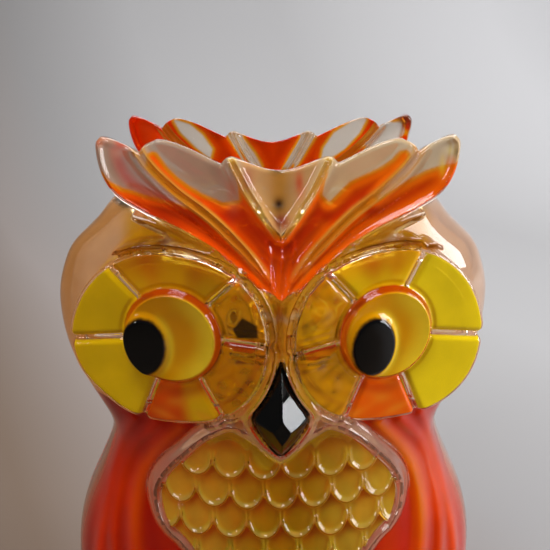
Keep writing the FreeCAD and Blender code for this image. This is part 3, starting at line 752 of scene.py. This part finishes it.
def zone_crest(back):
    x, z, ax = X, Z, AX
    w = windows(x, z, back)
    t = step(-0.5, 3.2, w)
    d1, d2 = line_distance(ax, z, BAND1), line_distance(ax, z, BAND2)
    low = line_distance(ax, z, LOWER_EDGE)
    up = step(139, 147, z)
    if not back:
        t = t * (1 - 0.92 * step(-3.6, -1.4, DC) * step(158, 164, z) * step(3.0, 6.0, low))
    # streaks converging on the vee
    u = low / (low + d1 + 0.3)
    v = d1 / (d1 + d2 + 0.3)
    lower = (d1 > 0) & (low < d2)
    fan = 0.5 + 0.5 * np.sin(np.where(lower, u * 19.0, v * 17.0) + 0.05 * z)
    # Painted light: the full orange and the window haze are lighter towards the right, where the light falls.
    right_lit_weight = step(-14, 16, x)[:, None]
    thin, full = srgb(232, 138, 8), srgb(248, 82, 0) * (1 - right_lit_weight) + srgb(255, 110, 0) * right_lit_weight
    deep = srgb(204, 40, 0) * (1 - right_lit_weight) + srgb(196, 32, 0) * right_lit_weight
    haze = mixc(np.tile(srgb(176, 150, 130), (len(x), 1)), srgb(216, 188, 146), step(-12, 14, x))
    if back:
        thin, full, deep, haze = srgb(244, 168, 10), srgb(242, 56, 0), srgb(190, 14, 0), srgb(232, 226, 214)[None, :]
    tint = mixc(haze * np.ones((len(x), 1)), thin, step(0.04, 0.16, t))
    tint = mixc(tint, full, step(0.16, 0.52, t))
    # thick dye along the upper side of each feather's painted part, with a darker band on the left outer feathers that
    # is painted shade, away from the light
    thick_dye_and_left_shade = bump(w - 3.6, 2.2) * step(0.6, 1.0, t) * (0.85 if not back else 0.5)
    thick_dye_and_left_shade = np.maximum(thick_dye_and_left_shade, step(0.7, 1.0, t) * 0.60 * fan * step(166, 152, z) * step(0.5, 1.8, np.minimum(d1, d2)))
    thick_dye_and_left_shade = np.maximum(thick_dye_and_left_shade, 0.8 * bump(low - 4.4, 1.7) * step(-10, -18, x) * (0.0 if back else 1.0))
    thick_dye_and_left_shade = thick_dye_and_left_shade * (1 - 0.7 * bump(low - 2.0, 1.3)) * (1 - 0.6 * step(146, 138, z))
    tint = mixc(tint, deep, np.clip(thick_dye_and_left_shade, 0, 1))
    if not back:
        # Painted shade: the left outer feathers are darkened, away from the light.
        tint = mixc(tint, srgb(160, 30, 0), 0.80 * step(-17, -26, x) * step(0.5, 0.9, t))
    pale1 = step(1.75, 1.15, d1) * up
    pale2 = step(1.15, 0.65, d2) * step(149, 153, z)
    tint = mixc(tint, srgb(206, 132, 16), 0.80 * pale1)
    # Painted highlight: a pale line along the top of the first band ridge.
    tint = mixc(tint, srgb(240, 186, 84), 0.55 * bump(d1 - 0.95, 0.42) * up)
    tint = mixc(tint, srgb(224, 176, 30), 0.85 * pale2)
    # Painted highlight: a pale line along the top of the second band ridge.
    tint = mixc(tint, srgb(250, 220, 120), 0.45 * bump(d2 - 0.8, 0.4) * step(149, 153, z))
    rimline = bump(low - 1.0, 0.45) * step(150, 142, z) * 0.0
    see = mixc(np.tile(srgb(236, 230, 226), (len(x), 1)), absorb(0.2 + 0.9 * t, (0.05, 1.7, 6.5)), step(0.02, 0.2, t))
    share = np.where(t < 0.12, 0.40 if back else 0.20, 0.32 - 0.21 * t)
    share = np.clip(share + 0.10 * pale1 + 0.15 * pale2 + rimline, 0, 0.95)
    if back:
        tint = mixc(tint, srgb(120, 60, 40), np.exp(-((x + 38.0) / 3.0) ** 2 - ((z - 170.5) / 2.4) ** 2))
    kite = step(9.5, 7.5, ax + 0.45 * (166 - z)) * step(150, 153, z) * step(0.3, 0.1, t)
    if not back:
        tint = mixc(tint, srgb(216, 164, 104), kite * 0.85)
        tint = mixc(tint, srgb(196, 140, 60), kite * bump(x, 2.6) * step(153, 156, z))
        share = share * (1 - 0.55 * kite)
        # Spots of colour on the near crest. The dark ones near x 0 at z 157 and 164.6 are painted shade at the coin
        # slot's ends. The yellow, dark and pale ones at x 35.7 to 38.3, z 165 to 169 are painted refraction glints at
        # the right outer tip.
        dye_spots_glints_and_shade = ((-0.3, 157.2, 1.1, 1.3, srgb(44, 22, 6), 1.0), (-0.5, 164.6, 1.7, 0.9, srgb(96, 74, 44), 0.9),
                 (0.3, 153.6, 1.5, 1.5, srgb(150, 30, 4), 0.9), (4.2, 161.6, 0.9, 2.6, srgb(226, 92, 56), 0.85),
                 (-7.0, 163.0, 1.3, 2.4, srgb(178, 96, 78), 0.7), (-10.4, 160.2, 1.3, 4.0, srgb(196, 108, 84), 0.65), (-39.4, 171.0, 2.4, 1.1, srgb(236, 120, 70), 0.8),
                 (-35.0, 168.4, 1.5, 1.3, srgb(220, 150, 120), 0.6), (37.3, 164.6, 1.0, 2.6, srgb(240, 112, 4), 0.95),
                 (35.7, 165.4, 0.7, 2.2, srgb(250, 200, 40), 0.8), (38.3, 168.4, 0.7, 0.9, srgb(70, 56, 30), 0.8),
                 (37.2, 168.6, 0.9, 1.0, srgb(250, 226, 150), 0.8))
        for sx, sz, rx, rz, colour, amount in dye_spots_glints_and_shade:
            tint = mixc(tint, colour, amount * np.exp(-((x - sx) / rx) ** 2 - ((z - sz) / rz) ** 2))
    if not back:
        share = share * (1 - 0.94 * bump(z - 154.9, 3.0) * step(0.1, 0.5, np.maximum(t, kite)))
    edge = -DC + 0.45 * step(148, 160, z)
    edge = np.where(z < 161, np.minimum(edge, low - 0.95), edge)
    return ON_CREST & (edge > -2.2), tint, see, share, edge


def zone_eye(kind):
    n = len(P)
    region = np.zeros(n, bool)
    tint, see = np.zeros((n, 3)), np.ones((n, 3))
    share, edge = np.zeros(n), np.full(n, -9.0)
    olive = srgb(224, 200, 10)
    for s in (1, -1):
        a, b, h, rho, ang, R = EYES[s]
        here = OUTER & (rho < R + 1.6) & (h > -3.4) & (s * X > -1.0)
        px, pz, pa, pb = PUPIL[s]
        k = np.sqrt(((a + IRIS[0] - px) / pa) ** 2 + ((b + IRIS[1] - pz) / pb) ** 2 + 1e-6)
        dpup = (1 - k) * 6.0
        if kind == "pupil":
            use = here & (dpup > -2.2)
            e = dpup
            c, sh, se = np.tile(srgb(10, 9, 9), (n, 1)), np.zeros(n), np.zeros((n, 3))
        elif kind == "iris":
            use = here & (rho < 13.0)
            e = np.minimum(11.9 - rho, -dpup + 0.9)
            # Painted light: the bowl is lighter towards its right rim and in a halo round the pupil's right side,
            # where the light falls.
            wide = s * a
            painted_rim_light = step(4.0, 10.0, rho) * step(-2, 7, wide) + bump(dpup + 1.0, 0.9) * step(-1, 5, wide + 4)
            c = mixc(np.tile(srgb(220, 152, 0), (n, 1)), srgb(252, 226, 50), np.clip(painted_rim_light, 0, 1) * 0.72)
            c = mixc(c, srgb(206, 78, 4), step(10.6, 11.1, rho))
            se, sh = np.tile(srgb(240, 150, 30), (n, 1)), 0.08 + 0.40 * step(10.6, 11.1, rho)
        else:
            use = here & (rho > 9.8)
            gap = np.full(n, 9.0)
            for g in GROOVES[s]:
                dang = np.mod(ang - g + 180.0, 360.0) - 180.0
                gap = np.minimum(gap, np.where(np.abs(dang) < 60, np.abs(rho * np.sin(np.radians(dang))), 9.0))
            e = np.minimum(np.minimum(R - 0.75 - rho, rho - 11.7), gap - 0.55)
            g_ou, g_o, g_ol, g_il, g_i, g_iu = [np.mod(v, 360) for v in GROOVES[s]]

            def sector(lo, hi, soft=1.5):
                span = np.mod(hi - lo, 360)
                mid = lo + span / 2
                d = np.abs(np.mod(ang - mid + 180, 360) - 180)
                return step(span / 2 + soft, span / 2 - soft, d)
            top, inner_u = sector(g_ou, g_iu), sector(g_iu, g_i)
            inner_l, bottom = sector(g_i, g_il), sector(g_il, g_ol)
            inner = np.maximum(inner_u, inner_l)
            c = np.tile(olive, (n, 1))
            # Painted light: the right eye's yellows, ambers and oranges are lighter than the left eye's, as the light
            # falls from the right, and the left eye's inner and lower petals take more dark orange.
            lit = srgb(250, 220, 24) if s > 0 else srgb(240, 194, 8)
            amber, orange = (srgb(250, 180, 6), srgb(255, 108, 0)) if s > 0 else (srgb(232, 150, 4), srgb(246, 96, 0))
            c = mixc(c, lit, 0.9)
            bright = srgb(246, 204, 6) if s > 0 else srgb(240, 176, 4)
            c = mixc(c, mixc(np.tile(bright, (n, 1)), amber, step(14, 22, rho)), top)
            c = mixc(c, amber, inner)
            c = mixc(c, srgb(206, 92, 0), 0.55 * inner_l * (1.0 if s < 0 else 0.55))
            # Painted shade: dark caustic blotches seen through the clear inner petals.
            caustic_shade_blot = (0.5 + 0.5 * np.sin(X * 0.9 + 1.7 * np.sin(Z * 0.55 + 0.6)) * np.sin(Z * 1.1 - 1.3 * np.sin(X * 0.5))) ** 2
            c = mixc(c, srgb(120, 52, 0), 0.55 * caustic_shade_blot * inner)
            sh = 0.04 + 0.14 * top + 0.52 * inner
            se = mixc(absorb(np.ones(n) * 0.8, (0.10, 0.55, 4.2)), absorb(np.ones(n), (0.08, 1.7, 6.5)), bottom)
            warm = bottom if s > 0 else np.clip(bottom * step(g_il + 16, g_il + 30, ang), 0, 1)
            c = mixc(c, mixc(amber[None, :], orange, 1.0), warm)
            c = mixc(c, srgb(190, 52, 0), warm * step(15, 22, rho) * (0.6 if s < 0 else 0.15))
            sh = sh * (1 - bottom) + 0.22 * bottom
            # Painted reflection: bright swirls of internal reflection on the bottom petals.
            inner_reflection_swirl = (0.5 + 0.5 * np.sin(a * 0.55 + 1.4 * np.sin(b * 0.5 + 0.7)) * np.sin(b * 0.9 + 0.8)) ** 2
            c = mixc(c, srgb(255, 168, 40), inner_reflection_swirl * 0.45 * bottom)
            c = mixc(c, srgb(206, 60, 0), 0.5 * bump(rho - 14.0, 1.6) * bottom)
            # Painted shade: dark lines along the moulded steps of the inner petals.
            step_shade_lines = (((-14.2, 125.2), (-5.8, 124.9)), ((-10.6, 124.4), (-3.4, 123.4)), ((-11.4, 122.9), (-4.0, 121.6))) \
                if s < 0 else (((4.8, 124.4), (11.6, 124.0)), ((4.6, 122.6), (11.2, 122.0)), ((6.4, 120.9), (11.0, 120.6)))
            for one in step_shade_lines:
                c = mixc(c, srgb(64, 40, 4), 0.8 * bump(line_distance(X, Z, list(one)), 0.42) * inner)
            # Painted shade: a dark refracted facet on the inner upper petal, darker on the left eye.
            facet = ((-8.8, 132.6), (-5.4, 130.6), (-5.2, 127.6), (-10.0, 126.8), (-11.2, 129.2)) if s < 0 else (
                (4.6, 130.4), (7.2, 132.4), (8.6, 129.6), (7.0, 127.4), (4.6, 127.8))
            facet_shade = step(0.35, -0.35, poly_distance(X, Z, facet)) * inner
            c = mixc(c, srgb(34, 20, 4), facet_shade * (0.97 if s < 0 else 0.5))
            sh = sh * (1 - (0.92 if s < 0 else 0.5) * facet_shade)
            # dye run to orange patches on the upper petals
            spot = bump(np.mod(ang - (104 if s > 0 else 74) + 180, 360) - 180, 11.0) * bump(rho - 18.5, 5.0)
            spot2 = bump(np.mod(ang - (84 if s > 0 else 112) + 180, 360) - 180, 9.0) * bump(rho - 17.0, 4.0)
            c = mixc(c, srgb(222, 104, 2), np.clip(0.8 * spot + 0.55 * spot2, 0, 1) * top)
        tint[use], see[use], share[use], edge[use] = c[use], se[use], sh[use], e[use]
        region |= use & (e > -2.2)
    return region, tint, see, share, edge


def zone_chest():
    d = T_heart_d(X, Z)
    edge = -3.0 - d
    relief = T_heart(X, Z)
    rim = step(0.8, 1.5, relief)
    tint = mixc(np.tile(srgb(178, 158, 14), (len(X), 1)), srgb(222, 200, 60), step(2, 22, AX) * 0.9)
    # Painted highlight and shade on the scale relief: darker just below each scale rim, paler and more see-through on
    # the raised rims and the heart's border bead.
    tint = mixc(tint, srgb(150, 100, 2), step(0.45, -0.3, relief) * 0.75)
    patch = 0.5 + 0.5 * np.sin(X * 0.55 + 1.3) * np.sin(Z * 0.62 + 0.35 * X)
    tint = mixc(tint, srgb(232, 158, 14), 0.35 * patch ** 2)
    tint = mixc(tint, srgb(250, 230, 130), rim * 0.6)
    see = mixc(absorb(np.ones(len(X)), (0.06, 0.42, 3.0)), srgb(252, 236, 180), rim * 0.5)
    share = 0.40 + 0.25 * rim
    return OUTER & (edge > -2.2) & (Y < -14), tint, see, share, edge


def zone_wing():
    d = T_heart_d(X, Z)
    over = np.maximum(eye_edge(1), eye_edge(-1))
    edge = np.minimum(np.minimum(d - 1.2, 104.5 - Z), -over - 0.4)
    edge = np.minimum(edge, Z - 3.0)
    ridge = np.clip(T_wing(X, Z), 0, 1.2)
    # Painted light and shade over the red-orange dye: lighter on the right side, along the raised feathers and in the
    # band along the first feather, darker on the left and towards the top under the eye discs.
    side = step(-30, 30, X)
    shade_under_discs = step(78, 98, Z)[:, None]
    deep = mixc(np.tile(srgb(160, 12, 0), (len(X), 1)), srgb(206, 28, 0), side)
    full = mixc(np.tile(srgb(236, 56, 0), (len(X), 1)), srgb(252, 84, 0), side)
    full = full * (1 - 0.60 * shade_under_discs) + deep * 0.60 * shade_under_discs
    deep = deep * (1 - 0.30 * shade_under_discs)
    fold = 0.5 + 0.5 * np.sin(AX * 0.62 - Z * 0.045)
    tint = mixc(deep, full, np.clip(0.10 + 0.70 * ridge + 0.30 * fold, 0, 1))
    lead = bump(line_distance(AX, Z, FEATHERS[0]), 1.6) * step(60, 76, Z)
    tint = mixc(tint, srgb(255, 132, 4), lead * (0.25 + 0.55 * side))
    see = absorb(1.0 - 0.45 * np.clip(ridge, 0, 1), (0.10, 2.1, 7.5))
    # the dye thins out to clear plastic towards the side seam
    seam = step(-14.0 - 2.0 * side, -5.0, Y)
    tint = mixc(tint, srgb(236, 150, 120), 0.6 * seam)
    see = mixc(see, srgb(250, 214, 196), seam)
    share = 0.16 + 0.08 * np.clip(ridge, 0, 1) * side
    share = share * (1 - seam) + 0.88 * seam
    edge = np.minimum(edge, -Y - 3.6)
    return OUTER & (edge > -2.2), tint, see, share, edge


def zone_beak():
    edge = 0.35 - T_beak(X, Z)
    n = len(X)
    return (OUTER & (edge > -2.0) & (Y < -23.0), np.tile(srgb(8, 8, 8), (n, 1)), np.zeros((n, 3)), np.zeros(n), edge)


def zone_wash(back):
    """Tinted film on the clear brow, cheeks, nose and heart rim. The plastic there is unpainted: the tint is painted
    see-through and refracted colour of the paint behind, with lines along the brow beads, and the paler pink on the
    right cheek is a painted reflection of the light at the right.
    """
    n = len(X)
    low = T_brow(X, Z)
    over = np.maximum(eye_edge(1), eye_edge(-1))
    side = step(-26, 26, X)
    brow = step(39, 34, AX) * step(158, 150, Z) * step(104, 112, Z)
    cheek = mixc(np.tile(srgb(238, 178, 110), (n, 1)), srgb(244, 214, 198), side)
    band = mixc(np.tile(srgb(204, 146, 22), (n, 1)), srgb(208, 150, 8), side)
    tint = mixc(cheek, band, brow)
    tint = mixc(tint, srgb(230, 176, 52), step(9, 5, AX) * step(140, 136, Z))
    line1 = bump(low - 1.0, 0.75) * brow
    line2 = bump(low - 3.6, 0.65) * brow
    bead = bump(over + 1.25, 0.8) * brow
    tint = mixc(tint, srgb(226, 188, 40), 0.85 * line1)
    tint = mixc(tint, srgb(216, 200, 172), 0.85 * line2)
    tint = mixc(tint, srgb(232, 170, 50), 0.6 * bead)
    see = mixc(np.tile(srgb(244, 226, 206), (n, 1)), srgb(250, 214, 96), brow)
    share = 0.60 - 0.22 * brow - 0.10 * line2
    edge = np.minimum(np.minimum(154.0 - Z, Z - 100.0), -over + 0.2)
    edge = np.where(ON_CREST & (low < -0.9), -5.0, edge)
    d = T_heart_d(X, Z)
    rim = np.where((Y < -14) & (Z < 106), 2.1 - np.abs(d + 0.95), -5.0)
    onrim = step(-0.6, 0.6, rim) * step(-0.3, 0.3, rim - np.maximum(edge, -1.0) + 1.5)
    tint = mixc(tint, srgb(206, 166, 146), onrim)
    see = mixc(see, srgb(250, 236, 224), onrim)
    share = share * (1 - onrim) + 0.42 * onrim
    edge = np.maximum(edge, rim)
    edge = np.where(Y < -21.0, np.minimum(edge, T_beak(X, Z) - 0.7), edge)
    return OUTER & (edge > -1.2) & ~(ON_CREST & (DC < -1.5)), tint, see, share, edge


def build_film(name, zone, depth, thick, flip, body, nodes, material):
    """Closed thin film lying just inside the plastic, under the outer surface."""
    region, tint, see, share, edge = zone
    fq = Q[region[Q].all(1)]
    used = np.unique(fq)
    index = np.full(len(P), -1)
    index[used] = np.arange(len(used))
    f = index[fq]
    p, n = P[used], N[used]
    if flip:
        p, n = turn_half(p, n)
    outer = p - n * depth
    inner = p - n * (depth + thick)
    m = len(used)
    directed = np.concatenate([f[:, [0, 1]], f[:, [1, 2]], f[:, [2, 3]], f[:, [3, 0]]])
    pair = np.sort(directed, axis=1)
    key = pair[:, 0].astype(np.int64) * m + pair[:, 1]
    uniq, first, count = np.unique(key, return_index=True, return_counts=True)
    rim = directed[first[count == 1]]
    backf = f[:, ::-1] + m
    walls = np.stack([rim[:, 1], rim[:, 0], rim[:, 0] + m, rim[:, 1] + m], axis=1)
    faces = np.concatenate([f, backf, walls])
    pts = np.concatenate([outer, inner])
    ob = make_mesh(name, pts, faces, None, material)
    me = ob.data
    me.materials.append(BACKSIDE)
    slots = np.concatenate([np.zeros(len(f)), np.ones(len(backf) + len(walls))]).astype(np.int32)
    me.polygons.foreach_set("material_index", slots)
    me.normals_split_custom_set_from_vertices(np.concatenate([n, -n]).tolist())
    for attr, rgb, alpha in (("tint", tint, edge), ("pane", see, share)):
        at = me.attributes.new(attr, "FLOAT_COLOR", "POINT")
        col = np.concatenate([rgb[used], alpha[used][:, None]], axis=1)
        at.data.foreach_set("color", np.concatenate([col, col]).astype(F32).ravel())
    me.update()
    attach(ob, body)
    if nodes:
        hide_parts(*nodes)
    return ob


used = np.unique(FINE_Q)
where = np.full(len(SHELL_P), -1)
where[used] = np.arange(len(used))
COARSE = (P, Q, N)
FINE = (SHELL_P[used], where[FINE_Q], SHELL_N[used])
for half, flip in (("front", False), ("back", True)):
    p, n = (turn_half(SHELL_P, SHELL_N) if flip else (SHELL_P, SHELL_N))
    shell = make_mesh(half + "_clear_shell", p, SHELL_FACES, n, CLEAR)
    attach(shell, "owl")
    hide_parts(half + "_shell")
    sample(*FINE)
    for word, zone, depth, slot in (
            ("crest", zone_crest(flip), 0.34, "crest_orange"), ("petal", zone_eye("petal"), 0.46, "petal_yellow"),
            ("iris", zone_eye("iris"), 0.40, "iris_yellow"), ("pupil", zone_eye("pupil"), 0.30, "gloss_black"),
            ("beak", zone_beak(), 0.28, "gloss_black"), ("chest", zone_chest(), 0.40, "chest_gold")):
        build_film("%s_%s_film" % (half, word), zone, depth, 0.06, flip, "owl",
                   ["%s_%s_coat" % (half, word)], PAINTS[word])
    sample(*COARSE)
    build_film(half + "_wing_film", zone_wing(), 0.60, 0.06, flip, "owl",
               [half + "_wing_coat"], PAINTS["wing"])
    build_film(half + "_brow_tint_film", zone_wash(flip), 0.85, 0.06, flip, "owl", [], PAINTS["wash"])


# ------------------------------------------------------------------ stopper
def lathe(name, profile, seg=96, material=None):
    pts, faces = [], []
    for r, z in profile:
        for i in range(seg):
            t = 2 * math.pi * i / seg
            pts.append((r * math.cos(t), r * math.sin(t), z))
    for j in range(len(profile) - 1):
        for i in range(seg):
            k = (i + 1) % seg
            faces.append((j * seg + i, j * seg + k, (j + 1) * seg + k, (j + 1) * seg + i))
    base = len(pts)
    pts += [(0, 0, profile[0][1]), (0, 0, profile[-1][1])]
    for i in range(seg):
        k = (i + 1) % seg
        faces.append((base, k, i))
        faces.append((base + 1, (len(profile) - 1) * seg + i, (len(profile) - 1) * seg + k))
    ob = make_mesh(name, np.array(pts, float), [tuple(f) for f in faces], None, material)
    return ob


def soft_plastic():
    m, nodes, links = new_material("stopper_soft_plastic")
    out = nodes.new("ShaderNodeOutputMaterial")
    b = nodes.new("ShaderNodeBsdfPrincipled")
    coord = nodes.new("ShaderNodeTexCoord")
    noise = nodes.new("ShaderNodeTexNoise")
    noise.inputs["Scale"].default_value = 260.0
    noise.inputs["Detail"].default_value = 5.0
    links.new(coord.outputs["Object"], noise.inputs["Vector"])
    ramp = nodes.new("ShaderNodeValToRGB")
    ramp.color_ramp.elements[0].color = (0.70, 0.68, 0.62, 1)
    ramp.color_ramp.elements[1].color = (0.82, 0.80, 0.75, 1)
    links.new(noise.outputs["Fac"], ramp.inputs["Fac"])
    links.new(ramp.outputs["Color"], b.inputs["Base Color"])
    b.inputs["Roughness"].default_value = 0.48
    b.inputs["Subsurface Weight"].default_value = 0.15
    b.inputs["Subsurface Radius"].default_value = (0.004, 0.003, 0.002)
    bump_ = nodes.new("ShaderNodeBump")
    bump_.inputs["Strength"].default_value = 0.15
    bump_.inputs["Distance"].default_value = 0.0002
    links.new(noise.outputs["Fac"], bump_.inputs["Height"])
    links.new(bump_.outputs["Normal"], b.inputs["Normal"])
    links.new(b.outputs[0], out.inputs["Surface"])
    return m


PROFILE = [(3.0, 0.55), (4.2, 0.35), (12.6, 0.35), (13.4, 0.12), (17.2, 0.12), (17.6, 0.25), (17.85, 0.5),
           (17.85, 0.95), (17.6, 1.2), (15.2, 1.24), (14.92, 1.4), (14.9, 2.4), (14.86, 2.5), (14.9, 2.6),
           (14.9, 5.6), (14.6, 6.0), (14.2, 6.08), (13.8, 6.0), (13.4, 5.7), (13.36, 2.6), (13.0, 2.25),
           (4.0, 2.2)]
stopper = lathe("base_stopper_plug", PROFILE, 128, soft_plastic())
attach(stopper, "stopper")
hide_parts("base_stopper")


# ------------------------------------------------------------------ floor and backdrop
def sweep_material():
    """Pale paper with painted light falloff: darker and warmer towards the near left and the front, lighter towards
    the back right.
    """
    m, nodes, links = new_material("pale_sweep")
    out = nodes.new("ShaderNodeOutputMaterial")
    b = nodes.new("ShaderNodeBsdfPrincipled")
    coord = nodes.new("ShaderNodeTexCoord")
    part = nodes.new("ShaderNodeSeparateXYZ")
    links.new(coord.outputs["Object"], part.inputs[0])
    across = nodes.new("ShaderNodeMath")
    across.operation = "MULTIPLY_ADD"
    across.inputs[1].default_value = 0.9
    across.inputs[2].default_value = 0.21
    links.new(part.outputs["X"], across.inputs[0])
    away = nodes.new("ShaderNodeMath")
    away.operation = "MULTIPLY_ADD"
    away.inputs[1].default_value = 0.45
    links.new(part.outputs["Y"], away.inputs[0])
    links.new(across.outputs[0], away.inputs[2])
    front = nodes.new("ShaderNodeMapRange")
    front.inputs["From Min"].default_value = -0.30
    front.inputs["From Max"].default_value = 0.04
    front.inputs["To Min"].default_value = -0.24
    front.inputs["To Max"].default_value = 0.0
    links.new(part.outputs["Y"], front.inputs["Value"])
    both = nodes.new("ShaderNodeMath")
    both.operation = "ADD"
    links.new(away.outputs[0], both.inputs[0])
    links.new(front.outputs["Result"], both.inputs[1])
    n = nodes.new("ShaderNodeTexNoise")
    n.inputs["Scale"].default_value = 2.5
    links.new(coord.outputs["Object"], n.inputs["Vector"])
    soft = nodes.new("ShaderNodeMath")
    soft.operation = "MULTIPLY_ADD"
    soft.inputs[1].default_value = 0.02
    links.new(n.outputs["Fac"], soft.inputs[0])
    links.new(both.outputs[0], soft.inputs[2])
    ramp = nodes.new("ShaderNodeValToRGB")
    el = ramp.color_ramp.elements
    el[0].position, el[0].color = 0.0, (0.115, 0.090, 0.072, 1)
    el[1].position, el[1].color = 1.0, (0.47, 0.467, 0.477, 1)
    for at, colour in ((0.165, (0.140, 0.100, 0.074)), (0.24, (0.250, 0.218, 0.205)), (0.34, (0.262, 0.254, 0.254)),
                       (0.50, (0.340, 0.335, 0.340)), (0.70, (0.340, 0.335, 0.340))):
        el.new(at).color = (*colour, 1)
    links.new(soft.outputs[0], ramp.inputs["Fac"])
    links.new(ramp.outputs["Color"], b.inputs["Base Color"])
    b.inputs["Roughness"].default_value = 0.8
    b.inputs["Specular IOR Level"].default_value = 0.2
    links.new(b.outputs[0], out.inputs["Surface"])
    return m


def sweep():
    prof = [(-1.2, 0.0), (0.0, 0.0), (0.55, 0.0)]
    for i in range(1, 17):
        t = i / 16 * math.pi / 2
        prof.append((0.55 + 0.5 * math.sin(t), 0.5 - 0.5 * math.cos(t)))
    prof.append((1.05, 2.2))
    xs = np.linspace(-2.2, 2.2, 9)
    pts = [(x, y, z) for (y, z) in prof for x in xs]
    faces = []
    for j in range(len(prof) - 1):
        for i in range(len(xs) - 1):
            a = j * len(xs) + i
            faces.append((a, a + 1, a + 1 + len(xs), a + len(xs)))
    me = bpy.data.meshes.new("sweep")
    me.from_pydata(pts, [], faces)
    me.polygons.foreach_set("use_smooth", [True] * len(me.polygons))
    ob = bpy.data.objects.new("sweep", me)
    bpy.context.scene.collection.objects.link(ob)
    me.materials.append(sweep_material())
    return ob


sweep()


def area(name, loc, target, size, power, color=(1, 1, 1)):
    data = bpy.data.lights.new(name, "AREA")
    data.shape = "RECTANGLE"
    data.size, data.size_y = size
    data.energy = power
    data.color = color
    ob = bpy.data.objects.new(name, data)
    bpy.context.scene.collection.objects.link(ob)
    ob.location = loc
    d = [t - l for t, l in zip(target, loc)]
    ob.rotation_mode = "QUATERNION"
    import mathutils
    ob.rotation_quaternion = mathutils.Vector(d).to_track_quat("-Z", "Y")
    return ob


area("window_right", (0.95, -0.16, 0.37), (0, 0, 0.10), (0.50, 0.57), 13.0, (0.97, 0.98, 1.0))
area("soft_back", (0.12, 0.80, 0.95), (0, 0, 0.10), (1.0, 0.8), 11.5)
area("soft_top", (-0.15, -0.22, 1.10), (0, 0, 0.1), (0.45, 0.45), 8.0)
area("lamp_left", (-0.62, -0.52, 0.62), (0, 0, 0.1), (0.16, 0.16), 2.0, (1.0, 0.97, 0.93))

world = bpy.data.worlds.new("soft_world")
bpy.context.scene.world = world
world.use_nodes = True
bg = world.node_tree.nodes["Background"]
bg.inputs["Color"].default_value = (0.78, 0.79, 0.82, 1)
bg.inputs["Strength"].default_value = 0.10

# ------------------------------------------------------------------ camera
import mathutils
yaw, pitch = math.radians(2.6), math.radians(18.2)
dist, height = 0.1768, 0.1905
cam_data = bpy.data.cameras.new("camera")
cam_data.sensor_width = 36.0
cam_data.lens = 700.0 / 550.0 * 36.0
cam_data.clip_start = 0.01
cam = bpy.data.objects.new("camera", cam_data)
bpy.context.scene.collection.objects.link(cam)
fwd = mathutils.Vector((math.sin(yaw) * math.cos(pitch), math.cos(yaw) * math.cos(pitch), -math.sin(pitch)))
right_v = mathutils.Vector((math.cos(yaw), -math.sin(yaw), 0.0))
up_v = right_v.cross(fwd)
rot = mathutils.Matrix((right_v, up_v, -fwd)).transposed()
cam.matrix_world = mathutils.Matrix.Translation((-dist * math.sin(yaw), -dist * math.cos(yaw), height)) @ rot.to_4x4()
bpy.context.scene.camera = cam
bpy.context.scene.view_settings.view_transform = "Standard"
bpy.context.scene.cycles.transparent_max_bounces = 32
